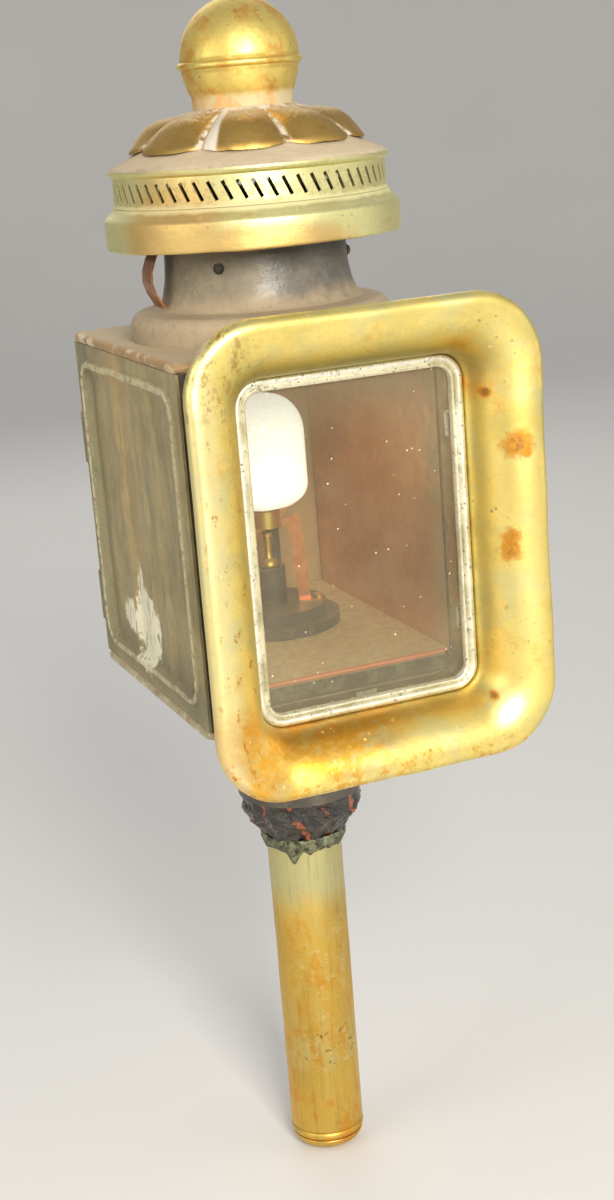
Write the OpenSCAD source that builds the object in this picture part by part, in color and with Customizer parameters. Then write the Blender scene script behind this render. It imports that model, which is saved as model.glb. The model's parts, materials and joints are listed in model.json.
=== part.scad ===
// Square carriage lamp: a sheet-metal lantern with a bell-mouth front, a vented lift-off cap,
// a hinged rear door and a long round stem that drops into a bracket on the carriage.
// Millimetres, +Z up, the front faces -Y. The origin is on the stem's axis, at its shoulder.

/* [Stem] */
// Outside radius of the stem, the size of the bracket's socket
stem_r = 15; // [12:0.5:18]
// Free length of the stem below its shoulder, without the cap
stem_len = 126; // [100:1:150]
// Wall thickness of the stem tube
stem_wall = 1.2; // [0.8:0.1:1.6]
// Length of the domed cap on the stem's foot
stem_cap_len = 10; // [9:0.5:12]

/* [Body] */
// Width of the body box
body_w = 110; // [104:1:116]
// Depth of the body box
body_d = 121; // [116:1:126]
// Height of the body box
body_h = 133; // [128:1:138]
// Height of the body's bottom above the stem's shoulder
body_z = 70; // [66:1:74]
// How far the body's front stands ahead of the stem's axis
body_front = 60; // [58:0.5:62]
// Sheet thickness of the body
sheet = 1.2; // [1:0.1:1.5]
// Radius of the rolled edge round the top and bottom plates
edge_r = 1.8; // [1.4:0.1:2.2]

/* [Front] */
// Half width across the bell mouth's rim
bell_half_w = 64.2; // [62:0.1:66]
// Half height across the bell mouth's rim
bell_half_h = 81.75; // [80:0.25:84]
// Corner radius of the bell mouth's rim
bell_corner = 25; // [20:1:28]
// Half width across the silvered bezel
bezel_half_w = 42.3; // [41:0.1:43]
// Half height across the silvered bezel
bezel_half_h = 60.5; // [59:0.5:61]
// Corner radius of the silvered bezel
bezel_corner = 9.5; // [8:0.5:11]
// How far the bell mouth's rim stands ahead of the stem's axis
bell_front = 97.4; // [95:0.1:100]
// How far the bezel's back stands ahead of the stem's axis
bezel_front = 76; // [74:0.5:78]

/* [Neck and cap] */
// Radius of the neck where it leaves the top plate
neck_base_r = 48; // [46:0.5:50]
// Radius of the neck's throat under the cap
neck_r = 33; // [31:0.5:35]
// Height of the cap's lower edge above the stem's shoulder
cap_z = 235.9; // [235:0.1:238]
// Outside radius of the cap's skirt
skirt_r = 54; // [52:0.5:56]
// Outside radius of the pierced gallery
gallery_r = 50; // [49:0.5:51]
// Number of slots in the gallery
slot_count = 60; // [40:2:72]
// Number of petals in the crown
petal_count = 8; // [6:1:10]
// Radius of the ball finial
finial_r = 21.5; // [19:0.5:23]

/* [Light] */
// Radius of the opal bulb
bulb_r = 17.5; // [15:0.5:19]
// Height of the bulb's neck above the stem's shoulder
bulb_z = 132.5; // [130:0.5:137]
// Height of the opal glass
bulb_h = 44.5; // [38:0.5:46]
// How far the bulb and its holder stand behind the stem's axis
holder_y = 13; // [0:1:15]

/* [Hidden] */

fn = 96;                                  // facets of a full circle
touch = 0.3;                              // gap between pieces that move past each other
body_top = body_z + body_h;
body_back = body_d - body_front;
half_w = body_w / 2;
mid_z = body_z + body_h / 2;              // middle of the body's height
front_z = 136.9;                          // middle of the bezel
bell_z = 137.55;                          // middle of the bell mouth's rim

// Colours of the metals
BRASS = "#c9a63c";
DARK_TIN = "#4a4740";
DUSTY_TIN = "#7a7263";
COPPER = "#a9683c";
SILVER = "#c9c7b4";
BLACK = "#24211f";

// ---- general shapes ----

// A tube about Z between two heights
module tube(r_out, r_in, z0, z1) {
    translate([0, 0, z0]) difference() {
        cylinder(r = r_out, h = z1 - z0, $fn = fn);
        translate([0, 0, -1]) cylinder(r = r_in, h = z1 - z0 + 2, $fn = fn);
    }
}

// A solid rod about Z between two heights
module rod(r, z0, z1) {
    translate([0, 0, z0]) cylinder(r = r, h = z1 - z0, $fn = fn);
}

// A rectangle with round corners, about the origin
module round_rect(w, h, r) {
    square([w - 2 * r, h], center = true);
    square([w, h - 2 * r], center = true);
    for (x = [-1, 1], y = [-1, 1])
        translate([x * (w / 2 - r), y * (h / 2 - r)]) circle(r = r, $fn = 64);
}

// An upright plate facing front: its outline is drawn in X and Z, its front face is at y
module upright(y, t) {
    translate([0, y + t, 0]) rotate([90, 0, 0]) linear_extrude(height = t) children();
}

// An upright plate facing sideways: its outline is drawn in Y and Z, its left face is at x
module sideways(x, t) {
    translate([x, 0, 0]) rotate([90, 0, 90]) linear_extrude(height = t) children();
}

// A closed loop of round bar along a rounded rectangle in X and Y
module bar_loop(w, h, r, bar) {
    for (side = [-1, 1]) {
        translate([-(w / 2 - r), side * h / 2, 0])
            rotate([0, 90, 0]) cylinder(r = bar, h = w - 2 * r, $fn = 32);
        translate([side * w / 2, h / 2 - r, 0])
            rotate([90, 0, 0]) cylinder(r = bar, h = h - 2 * r, $fn = 32);
    }
    for (quarter = [0 : 3]) {
        sx = (quarter == 0 || quarter == 3) ? 1 : -1;
        sy = quarter < 2 ? 1 : -1;
        translate([sx * (w / 2 - r), sy * (h / 2 - r), 0])
            rotate([0, 0, quarter * 90]) rotate_extrude(angle = 90, $fn = 64)
                translate([r, 0]) circle(r = bar, $fn = 32);
    }
}

// The inner face of a sheet whose outer face follows path upwards, t thick square to itself
function inside(path, t) = let (last = len(path) - 1) [for (i = [0 : last]) let (
    run = path[min(i + 1, last)] - path[max(i - 1, 0)],
    along = (i == 0 || i == last) ? [0, 1] : run / norm(run)
) path[i] + t * [-along[1], along[0]]];

// A spun sheet: a turned shell between an outline and its inner face
module spun(outline, t) {
    inner = inside(outline, t);
    rotate_extrude($fn = fn)
        polygon(concat(outline, [for (i = [len(inner) - 1 : -1 : 0]) inner[i]]));
}

// A small round-headed rivet along +Z, head at the top
module rivet(r, length) {
    cylinder(r = r, h = length, $fn = 24);
    translate([0, 0, length]) intersection() {
        translate([0, 0, -r * 0.75]) sphere(r = r * 2, $fn = 32);
        cylinder(r = r * 2, h = r * 2, $fn = 32);
    }
}

// ---- stem and base ----

socket_r = stem_r - 0.5;                  // the tube's upper end, inside the ferrule
ferrule_top = 22;
ferrule_r = 24.5;
funnel_r = 46;
base_wall = 1.5;
flare_z = 34;                             // height where the base starts to flare
funnel_lip = 3;                           // height of the upright lip under the body

module stem_tube() color(BRASS) rotate_extrude($fn = fn) polygon([
    [stem_r - stem_wall, -stem_len], [stem_r, -stem_len], [stem_r, 0], [socket_r, 0],
    [socket_r, 14], [stem_r - stem_wall, 14]
]);

module stem_ferrule() color(BLACK) rotate_extrude($fn = fn) polygon([
    [socket_r, 0], [16.6, 0], [16.9, 3.7], [19.6, 8], [22.9, 11.4], [ferrule_r, 14.5],
    [ferrule_r, ferrule_top], [ferrule_r - base_wall, ferrule_top],
    [ferrule_r - base_wall, 15.5], [21.4, 13.2], [socket_r, 9]
]);

// The wiped ring of solder between the ferrule and the stem's shoulder
module solder_seam() color(SILVER) rotate_extrude($fn = fn) polygon([
    [16.6, 0], [17.3, 0.2], [18.1, 1.4], [18.3, 3.2], [17.81, 5.15], [16.9, 3.7]
]);

// The spun base: a flare from the ferrule to the body's bottom plate
module base_funnel() color(DARK_TIN) spun(concat(
    [[ferrule_r, ferrule_top]],
    [for (i = [0 : 12]) let (a = 90 * i / 12)
        [ferrule_r + (funnel_r - ferrule_r) * (1 - cos(a)),
         flare_z + (body_z - funnel_lip - flare_z) * sin(a)]],
    [[funnel_r, body_z]]
), base_wall);

// ---- body ----

plate_r = 4;                              // corner radius of the top and bottom plates

module plate_outline() {
    translate([0, (body_back - body_front) / 2])
        round_rect(body_w - 2 * sheet, body_d - 2 * sheet, plate_r);
}

module plate_edge(z) {
    translate([0, (body_back - body_front) / 2, z])
        bar_loop(body_w - edge_r, body_d - edge_r, plate_r, edge_r);
}

module bottom_plate() color(DUSTY_TIN) {
    translate([0, 0, body_z]) linear_extrude(height = sheet) difference() {
        plate_outline();
        circle(r = funnel_r - 6, $fn = fn);
    }
    plate_edge(body_z + edge_r);
}

module top_plate() color(DUSTY_TIN) {
    translate([0, 0, body_top - sheet]) linear_extrude(height = sheet) difference() {
        plate_outline();
        circle(r = neck_base_r - 8, $fn = fn);
    }
    plate_edge(body_top - edge_r);
}

panel_z0 = body_z + 2 * edge_r;           // the panels stand between the two rolled edges
panel_z1 = body_top - 2 * edge_r;
panel_bead = 1.6;
panel_margin = 5;
panel_y = (body_back - body_front) / 2;
panel_h = panel_z1 - panel_z0;
window_w = body_d - 4 * sheet - 2 * panel_margin;
window_h = panel_h - 2 * panel_margin;

// A pressed side: a flat border, a round bead and a sunk field with two upright creases
module side_panel() {
    crease = window_w / 6;
    inner_x = half_w - sheet - 1;
    sideways(half_w - sheet, sheet) difference() {
        translate([panel_y, mid_z]) square([body_d, panel_h], center = true);
        translate([panel_y, mid_z]) round_rect(window_w, window_h, 8);
    }
    translate([half_w - 0.2, panel_y, mid_z]) rotate([90, 0, 90])
        bar_loop(window_w + 1, window_h + 1, 9, panel_bead);
    translate([0, panel_y, mid_z - window_h / 2 - 2]) linear_extrude(height = window_h + 4)
        polygon([
            [inner_x, -window_w / 2 - 2], [inner_x + 1, -window_w / 2 - 2],
            [inner_x + 1, -crease], [inner_x + 1.8, -crease + 1], [inner_x + 1.1, 0],
            [inner_x + 1.8, crease - 1], [inner_x + 1, crease],
            [inner_x + 1, window_w / 2 + 2], [inner_x, window_w / 2 + 2]
        ]);
}

module side_panel_left() color(DUSTY_TIN) mirror([1, 0, 0]) side_panel();
module side_panel_right() color(DUSTY_TIN) side_panel();

throat_half_w = bezel_half_w - 0.2;
throat_half_h = bezel_half_h - 0.2;

// The plate that closes the body's front around the glass opening
module front_plate() color(DARK_TIN) upright(-body_front, sheet) difference() {
    translate([0, mid_z]) square([body_w - 2 * sheet - 0.1, panel_h], center = true);
    translate([0, front_z]) round_rect(2 * throat_half_w - 3, 2 * throat_half_h - 3, 7);
}

door_half_w = 44;
door_half_h = 56;

// The frame round the door opening at the back
module rear_frame() color(DUSTY_TIN) upright(body_back - sheet, sheet) difference() {
    translate([0, mid_z]) square([body_w - 2 * sheet - 0.1, panel_h], center = true);
    translate([0, mid_z]) round_rect(2 * door_half_w, 2 * door_half_h, 5);
}

// ---- front ----

// The rectangular tube between the body's front plate and the bezel
module front_throat() color(DARK_TIN)
    upright(-bezel_front + 1.6, bezel_front - 1.6 - body_front) difference() {
        translate([0, front_z]) round_rect(2 * throat_half_w, 2 * throat_half_h, 9.3);
        translate([0, front_z])
            round_rect(2 * (throat_half_w - sheet), 2 * (throat_half_h - sheet), 8.1);
    }

rim_r = 3.6;                              // radius of the bell mouth's rolled rim
bell_t = 1.1;                             // sheet thickness of the bell mouth
bell_span = bell_half_w - bezel_half_w;   // how far the flare spreads
bell_depth = bell_front - bezel_front;
bell_collar = 8;                          // length of the collar that slips over the throat

// The bell mouth's section: [spread from the bezel, distance ahead of the axis]
bell_section = concat(
    [[0, bezel_front - bell_collar]],
    [for (i = [0 : 9]) let (a = 90 * i / 9)
        [(bell_span - rim_r) * (1 - cos(a)), bezel_front + bell_depth * sin(a)]],
    [for (i = [1 : 8]) let (a = 90 - 22.5 * i)
        [bell_span - rim_r + rim_r * cos(a), bell_front - rim_r + rim_r * sin(a)]],
    [[bell_span - rim_r - 1.5, bell_front - 2 * rim_r + 0.2]],
    [for (i = [8 : -1 : 0]) let (a = 90 * i / 9)
        [(bell_span - rim_r) * (1 - cos(a)) + bell_t * cos(a),
         bezel_front + (bell_depth - bell_t) * sin(a)]],
    [[bell_t, bezel_front - bell_collar]]
);

// One ring of points: the rounded rectangle that a point of the section sweeps
corner_steps = 7;
function bell_ring(s) = let (
    k = s[0] / bell_span,
    w = bezel_half_w + s[0],
    h = bezel_half_h + (bell_half_h - bezel_half_h) * k,
    r = bezel_corner + (bell_corner - bezel_corner) * k,
    cz = front_z + (bell_z - front_z) * k
) [for (q = [0 : 3], j = [0 : corner_steps]) let (
    a = 90 * q + 90 * j / corner_steps,
    cx = (q == 0 || q == 3) ? w - r : r - w,
    cy = q < 2 ? h - r : r - h
) [cx + r * cos(a), -s[1], cz + cy + r * sin(a)]];

module bell_mouth() color(BRASS) {
    ring = 4 * (corner_steps + 1);
    rings = len(bell_section);
    points = [for (s = bell_section) each bell_ring(s)];
    faces = [for (i = [0 : rings - 1], j = [0 : ring - 1]) let (
        n = (i + 1) % rings,
        m = (j + 1) % ring
    ) [i * ring + j, n * ring + j, n * ring + m, i * ring + m]];
    polyhedron(points = points, faces = faces, convexity = 6);
}

bezel_bar = 2.5;

// The round silvered bead round the glass
module glass_bezel() color(SILVER) difference() {
    translate([0, -bezel_front, front_z]) rotate([90, 0, 0])
        bar_loop(2 * (bezel_half_w - bezel_bar), 2 * (bezel_half_h - bezel_bar),
            bezel_corner - bezel_bar, bezel_bar);
    translate([-100, -bezel_front + 0.6, 0]) cube([200, 10, 300]);
}

glass_t = 2;
glass_y = -bezel_front + 0.6;

module front_glass() color("#b9c3bd", 0.4) upright(glass_y, glass_t)
    translate([0, front_z]) round_rect(2 * throat_half_w - 3, 2 * throat_half_h - 3, 7.8);

// Bent tabs that hold the pane against the bezel
module glass_clips() color(SILVER) {
    clip_z = 35;                          // how far the side clips sit from the middle
    clip_y = glass_y + glass_t;
    inner_w = throat_half_w - sheet;
    inner_h = throat_half_h - sheet;
    for (side = [-1, 1], z = [-clip_z, clip_z]) translate([side * inner_w, 0, front_z + z]) {
        translate([side < 0 ? 0 : -0.8, clip_y, -4]) cube([0.8, 6, 8]);
        translate([side < 0 ? 0 : -4, clip_y, -4]) cube([4, 0.8, 8]);
    }
    for (side = [-1, 1]) translate([0, 0, front_z + side * inner_h]) {
        translate([-4, clip_y, side < 0 ? 0 : -0.8]) cube([8, 6, 0.8]);
        translate([-4, clip_y, side < 0 ? 0 : -4]) cube([8, 0.8, 4]);
    }
}

// ---- inside ----

floor_z = 86;
liner_w = 41;
liner_t = 0.8;
liner_top = panel_z1 - 2;
liner_front = body_front - sheet;
liner_back = body_back - sheet;

// A bent sheet with flanges that meet the front plate and the rear frame
module side_reflector() {
    flange = 8;
    translate([0, 0, floor_z]) linear_extrude(height = liner_top - floor_z) polygon([
        [liner_w + flange, -liner_front], [liner_w, -liner_front],
        [liner_w, liner_back], [liner_w + flange, liner_back],
        [liner_w + flange, liner_back - liner_t], [liner_w + liner_t, liner_back - liner_t],
        [liner_w + liner_t, liner_t - liner_front], [liner_w + flange, liner_t - liner_front]
    ]);
}

module reflector_left() color(COPPER) mirror([1, 0, 0]) side_reflector();
module reflector_right() color(COPPER) side_reflector();

// Moves a piece of the bulb's holder from the stem's axis to its place
module at_holder() translate([0, holder_y, 0]) children();

// The floor of the light chamber, with a rolled front lip and a riser below it
module floor_plate() color(COPPER) {
    riser = 6.5;
    difference() {
        translate([-liner_w + 0.1, -liner_front, floor_z - liner_t])
            cube([2 * liner_w - 0.2, liner_front + liner_back, liner_t]);
        at_holder() rod(3.2, floor_z - 2, floor_z + 1);
        wire_holes(floor_z - 2, floor_z + 1);
    }
    translate([-38, -liner_front - 0.9, floor_z - riser]) cube([76, liner_t, riser]);
    translate([-38, -liner_front - 0.5, floor_z - 0.3])
        rotate([0, 90, 0]) cylinder(r = 0.9, h = 76, $fn = 24);
}

base_r = 26;
base_step_r = 21;
base_z1 = floor_z + 4;
base_z2 = floor_z + 8.5;
post_r = 6;
post_top = 109;
spring_bore = 4.2;
guide_r = 1.85;
post_floor = 98;

// The stepped black base of the bulb holder, hollow underneath for the plunger's tail
module holder_base() color(BLACK) at_holder() difference() {
    union() {
        rod(base_r, floor_z, base_z1);
        rod(base_step_r, base_z1, base_z2);
    }
    rod(4.5, floor_z - 1, base_z2 + 1);
    translate([0, -holder_y, 0]) wire_holes(floor_z - 1, base_z1 + 1);
}

module holder_post() color(BLACK) at_holder() difference() {
    rod(post_r, base_z2, post_top);
    rod(spring_bore, post_floor, post_top + 1);
    rod(guide_r, base_z2 - 1, post_floor + 1);
}

collar_z0 = bulb_z - 7.4;
collar_out = 5.7;
collar_in = 4.6;
socket_top = bulb_z - 0.6;

// Two black legs behind the plunger that carry the socket's collar
module holder_uprights() color(BLACK) at_holder() for (side = [-1, 1]) rotate([0, 0, 90 + side * 38]) {
    translate([7.2, -2, base_z2]) cube([2.6, 4, collar_z0 + 3 - base_z2]);
    translate([collar_out, -2, collar_z0 - 1.2]) cube([2, 4, 4.2]);
}

module socket_collar() color(BRASS) at_holder() tube(collar_out, collar_in, collar_z0, socket_top);

// A compression spring round the plunger's tail
module plunger_spring() color(SILVER) at_holder() {
    coil_r = 3.1;
    wire_r = 0.4;
    turns = 6;
    z0 = post_floor + wire_r + 0.05;
    z1 = post_top - wire_r - 0.45;
    steps = 16 * turns;
    sides = 8;
    points = [for (i = [0 : steps], j = [0 : sides - 1]) let (
        a = 360 * turns * i / steps,
        b = 360 * j / sides,
        r = coil_r + wire_r * cos(b)
    ) [r * cos(a), r * sin(a), z0 + (z1 - z0) * i / steps + wire_r * sin(b)]];
    walls = [for (i = [0 : steps - 1], j = [0 : sides - 1]) let (m = (j + 1) % sides)
        [i * sides + j, i * sides + m, (i + 1) * sides + m, (i + 1) * sides + j]];
    ends = [[for (j = [sides - 1 : -1 : 0]) j], [for (j = [0 : sides - 1]) steps * sides + j]];
    polyhedron(points = points, faces = concat(walls, ends), convexity = 8);
}

plunger_head = collar_z0 - 2;

// The brass centre contact: a waisted spool on a long tail
module contact_plunger() color(BRASS) at_holder() rotate_extrude($fn = 48) polygon([
    [0, 91.4], [1.8, 91.4], [1.8, post_top - 0.2], [3.5, post_top], [3.7, post_top + 1],
    [3.5, post_top + 2.4], [1.7, post_top + 3.6], [1.4, post_top + 6], [1.6, plunger_head - 2.6],
    [2.2, plunger_head - 1.8], [2.2, plunger_head - 0.5], [1.7, plunger_head], [0, plunger_head]
]);

module plunger_stop() color(BRASS) at_holder() tube(3.2, 1.8, base_z2 - 2.3, base_z2 - touch);

// A copper blade on a screwed foot; its tongue rests against the bulb's collar
leaf_dir = -22;                           // its bearing, in degrees from +X
leaf_t = 0.6;
leaf_x0 = 10.6;
leaf_x1 = 20;
leaf_screw_x = 18;
module contact_leaf() color(COPPER) at_holder() rotate([0, 0, leaf_dir]) {
    translate([leaf_x0, -2.5, base_z2]) cube([leaf_x1 - leaf_x0, 5, leaf_t]);
    translate([0, leaf_t / 2, 0]) rotate([90, 0, 0]) linear_extrude(height = leaf_t) polygon([
        [leaf_x0, base_z2 + leaf_t / 2], [15.2, base_z2 + leaf_t / 2], [14, collar_z0 - 4],
        [13.2, collar_z0 + 3.4], [11.6, collar_z0 + 4.4], [8.6, collar_z0 + 3],
        [collar_out + 0.05, collar_z0 + 2.4], [collar_out + 0.05, collar_z0 + 1],
        [8.4, collar_z0 - 1.6]
    ]);
}

module terminal_screws() color(BRASS) at_holder() {
    rotate([0, 0, leaf_dir]) translate([leaf_screw_x, 0, base_z2 + leaf_t]) terminal_screw();
    rotate([0, 0, leaf_dir + 180]) translate([leaf_screw_x - 2, 0, base_z2]) terminal_screw();
}

// A slotted round-head screw
module terminal_screw() difference() {
    cylinder(r = 1.9, h = 1.6, $fn = 32);
    translate([-3, -0.35, 0.9]) cube([6, 0.7, 2]);
}

wire_r = 0.9;
wire_x = 5.6;
wire_top = base_z1;

module wire_holes(z0, z1) for (side = [-1, 1]) translate([side * wire_x, 0, 0])
    rod(wire_r + 0.1, z0, z1);

plug_top = -stem_len + 24;
plug_bottom = -stem_len + 16;
plug_screw_x = 8;
plug_screw_r = 1.2;

// Two covered wires from the plug in the stem's foot up to the holder's base
module lead_wires() for (side = [-1, 1]) color(side < 0 ? "#7a2b20" : "#2b2b2b") {
    translate([side * wire_x, 0, 0]) rod(wire_r, plug_top, wire_top);
}

module stem_plug() color(BLACK) difference() {
    rod(stem_r - stem_wall, plug_bottom, plug_top);
    for (side = [-1, 1]) translate([side * plug_screw_x, 0, 0])
        rod(plug_screw_r, plug_bottom - 1, plug_top + 1);
}

module plug_screws() color(BRASS) for (side = [-1, 1])
    translate([side * plug_screw_x, 0, plug_bottom]) {
        cylinder(r = plug_screw_r, h = plug_top - plug_bottom, $fn = 24);
        mirror([0, 0, 1]) terminal_screw();
    }

bulb_cap_r = collar_in - 0.1;
bulb_cap_z = collar_z0 + 1;

// An opal glass envelope, hollow, with a rounded crown and a drawn-in neck
function bulb_outline(r, inset) = concat(
    [[bulb_cap_r + 1.3 - inset, 0], [r - 5.5 - inset * 0.6, 1.6 + inset * 0.5]],
    [for (i = [0 : 6]) let (a = -60 + 60 * i / 6)
        [r - 8 + (8 - inset) * cos(a), 9.5 + (8 - inset) * sin(a)]],
    [for (i = [0 : 12]) let (a = 90 * i / 12)
        [i == 12 ? 0 : (r - inset) * pow(cos(a), 0.72),
         bulb_h - 15.5 + (15.5 - inset) * sin(a)]]
);

module bulb_glass() color("#f2f0e6") {
    outer = bulb_outline(bulb_r, 0);
    inner = bulb_outline(bulb_r, 0.9);
    last = len(inner) - 1;
    translate([0, holder_y, bulb_z]) rotate_extrude($fn = fn)
        polygon(concat(outer, [for (i = [last : -1 : 0]) inner[i]]));
}

module bulb_collar() color(BRASS) at_holder() difference() {
    union() {
        rod(bulb_cap_r, bulb_cap_z, bulb_z);
        rod(bulb_cap_r + 1.3, socket_top + touch, bulb_z);
    }
    rod(bulb_cap_r - 0.8, bulb_cap_z - 1, bulb_z + 1);
}

// The black glass foot and the solder button that meets the plunger
module bulb_contact() color(BLACK) at_holder() {
    rod(bulb_cap_r - 0.8, bulb_cap_z, bulb_cap_z + 2);
    translate([0, 0, bulb_cap_z]) intersection() {
        sphere(r = 2.6, $fn = 32);
        translate([-4, -4, -4]) cube([8, 8, 4]);
    }
}

// The glass bead, two support wires and the filament inside the bulb
module bulb_filament() color(SILVER) at_holder() {
    rod(1.6, bulb_cap_z + 2, bulb_z + 8);
    for (side = [-1, 1]) translate([side * 1.2, 0, bulb_z + 7])
        rotate([0, side * 14, 0]) cylinder(r = 0.3, h = 13, $fn = 16);
    translate([-4.2, 0, bulb_z + 19.4]) rotate([0, 90, 0]) cylinder(r = 0.3, h = 8.4, $fn = 16);
}

// ---- neck ----

// The neck's outside: an upright foot, a rounded shoulder and a hollow flare up to the throat
shoulder_z = body_top + 11.5;
neck_top = 246;
flue_r = 27;
rivet_dirs = [106, 226, 346];
rivet_z = 229;
neck_rivet_r = 1.1;
neck_outline = concat(
    [[neck_base_r, body_top], [neck_base_r, body_top + 5.5]],
    [for (i = [1 : 6]) let (a = 90 * i / 6)
        [neck_base_r - 4.5 + 4.5 * cos(a), body_top + 5.5 + 4.5 * sin(a)]],
    [for (i = [0 : 10]) let (a = 90 * i / 10)
        [neck_base_r - 9 - (neck_base_r - 9 - neck_r - 0.6) * sin(a),
         shoulder_z - 1 + (232 - shoulder_z) * (1 - cos(a))]],
    [[neck_r, neck_top]]
);

module chimney_neck() color(DARK_TIN) difference() {
    spun(neck_outline, sheet);
    for (a = rivet_dirs) rotate([0, 0, a]) translate([flue_r, 0, rivet_z])
        rotate([0, 90, 0]) cylinder(r = neck_rivet_r, h = 20, $fn = 24);
}

module inner_chimney() color(DARK_TIN) tube(flue_r, flue_r - 1, body_top - 2, neck_top + 6);

// Three long rivets that hold the inner chimney in the middle of the neck
module neck_rivets() color(BRASS) for (a = rivet_dirs) rotate([0, 0, a])
    translate([flue_r, 0, rivet_z]) rotate([0, 90, 0])
        rivet(neck_rivet_r, neck_r - flue_r + 0.9);

// Two bowed leaf springs that grip the cap's seat
spring_dirs = [26, 180];
spring_points = [
    [38.6, 215.4], [39.6, 217.2], [41.4, 220.4], [42.6, 224.5], [42.4, 228.4], [40.9, 232.4],
    [38.7, 236.6], [37.7, 240.5]
];
module cap_springs() color(COPPER) {
    last = len(spring_points) - 1;
    back = [for (i = [last : -1 : 0]) [spring_points[i][0] - 0.8, spring_points[i][1]]];
    for (a = spring_dirs) rotate([0, 0, a]) translate([0, 5, 0])
        rotate([90, 0, 0]) linear_extrude(height = 10) polygon(concat(spring_points, back));
}

// ---- cap ----

skirt_h = 11.5;
gallery_z0 = cap_z + 15.1;
gallery_z1 = gallery_z0 + 13;
seat_in = 38.9;
seat_z = cap_z + skirt_h;

module cap_skirt() color(BRASS) rotate_extrude($fn = fn) polygon([
    [skirt_r - 1.6, cap_z], [skirt_r - 0.5, cap_z], [skirt_r, cap_z + 0.8],
    [skirt_r, cap_z + skirt_h - 1], [skirt_r - 0.5, cap_z + skirt_h],
    [gallery_r + 0.8, gallery_z0 - 1], [gallery_r, gallery_z0],
    [gallery_r - 1.2, gallery_z0], [gallery_r - 1.2, gallery_z0 - 1.6],
    [skirt_r - 1.6, cap_z + skirt_h - 1.2]
]);

// The flanged ring inside the cap that slides over the neck's springs
module cap_seat() color(DARK_TIN) rotate_extrude($fn = fn) polygon([
    [seat_in, seat_z - 9], [seat_in + 1, seat_z - 9], [seat_in + 1, seat_z - 2.2],
    [skirt_r - 1.6, seat_z - 2.2], [skirt_r - 1.6, seat_z - 1.2], [seat_in, seat_z - 1.2]
]);

module vent_gallery() color(BRASS) {
    slot_h = 7;
    slot_w = 1.3;
    difference() {
        rotate_extrude($fn = fn) polygon([
            [gallery_r - 1.2, gallery_z0], [gallery_r, gallery_z0],
            [gallery_r - 0.6, gallery_z0 + 1.2], [gallery_r - 0.6, gallery_z1 - 2.4],
            [gallery_r + 0.6, gallery_z1 - 1.6], [gallery_r + 0.9, gallery_z1 - 0.8],
            [gallery_r + 0.6, gallery_z1], [gallery_r - 1.6, gallery_z1],
            [gallery_r - 1.6, gallery_z0 + 0.6]
        ]);
        for (i = [0 : slot_count - 1]) rotate([0, 0, 360 * i / slot_count])
            translate([gallery_r - 1, 0, gallery_z0 + 2 + slot_h / 2]) rotate([25, 0, 0])
                cube([6, slot_w, slot_h], center = true);
    }
}

cone_top_r = 17;
cone_top_z = 282;

module cap_cone() color(DUSTY_TIN) rotate_extrude($fn = fn) polygon([
    [gallery_r - 1.6, gallery_z1], [gallery_r + 0.2, gallery_z1], [gallery_r - 0.4, gallery_z1 + 0.8],
    [gallery_r - 8, 268.6], [34, 273.4], [26, 277.6], [cone_top_r + 1, cone_top_z],
    [4, cone_top_z], [4, cone_top_z - 1], [cone_top_r + 0.6, cone_top_z - 1], [25.6, 276.5],
    [33.6, 272.3], [gallery_r - 8.3, 267.5]
]);

// The crown of petals: a thin sheet that lies on the cone in its valleys and puffs up between
petal_in = 17.2;
petal_flat = 18.6;                        // radius of the flat ring under the finial
petal_out = 43.5;
petal_puff = 4;                           // how far a petal stands above its valleys
petal_steps = 12;                         // round one petal
petal_rows = 8;                           // from the middle to the tips
petal_t = 0.9;
crown_z = cone_top_z + petal_t;           // height of the flat ring's top
valley_slope = 0.55;

function petal_point(row, step, under) = let (
    a = 360 * step / (petal_steps * petal_count),
    k = max(row - 1, 0) / (petal_rows - 1),
    wave = abs(sin(a * petal_count / 2)),
    reach = petal_out - 3.4 * pow(1 - wave, 1.5),
    r = row == 0 ? petal_in : petal_flat + (reach - petal_flat) * k,
    puff = (petal_puff * sin(180 * pow(k, 1.6)) + 0.7 * k) * wave,
    fall = valley_slope * max(r - petal_flat, 0)
) [r * cos(a), r * sin(a), crown_z - fall + puff - under];

module petal_crown() color(BRASS) {
    ring = petal_steps * petal_count;
    rows = petal_rows + 1;
    points = [for (under = [0, petal_t], i = [0 : petal_rows], j = [0 : ring - 1])
        petal_point(i, j, under)];
    top = [for (i = [0 : petal_rows - 1], j = [0 : ring - 1]) let (m = (j + 1) % ring)
        each [[i * ring + j, i * ring + m, (i + 1) * ring + m],
              [i * ring + j, (i + 1) * ring + m, (i + 1) * ring + j]]];
    low = rows * ring;
    bottom = [for (f = top) [low + f[2], low + f[1], low + f[0]]];
    hem = [for (j = [0 : ring - 1]) let (m = (j + 1) % ring, o = petal_rows * ring)
        each [[o + j, o + m, low + o + m], [o + j, low + o + m, low + o + j]]];
    hole = [for (j = [0 : ring - 1]) let (m = (j + 1) % ring)
        each [[m, j, low + j], [m, low + j, low + m]]];
    polyhedron(points = points, faces = concat(top, bottom, hem, hole), convexity = 8);
}

ball_z = 299.5;
waist_z = 297.8;                          // the bead round the finial's waist
waist_r = 1.3;
stud_r = 3;
stud_z0 = 270;
stud_z1 = 300;

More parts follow.
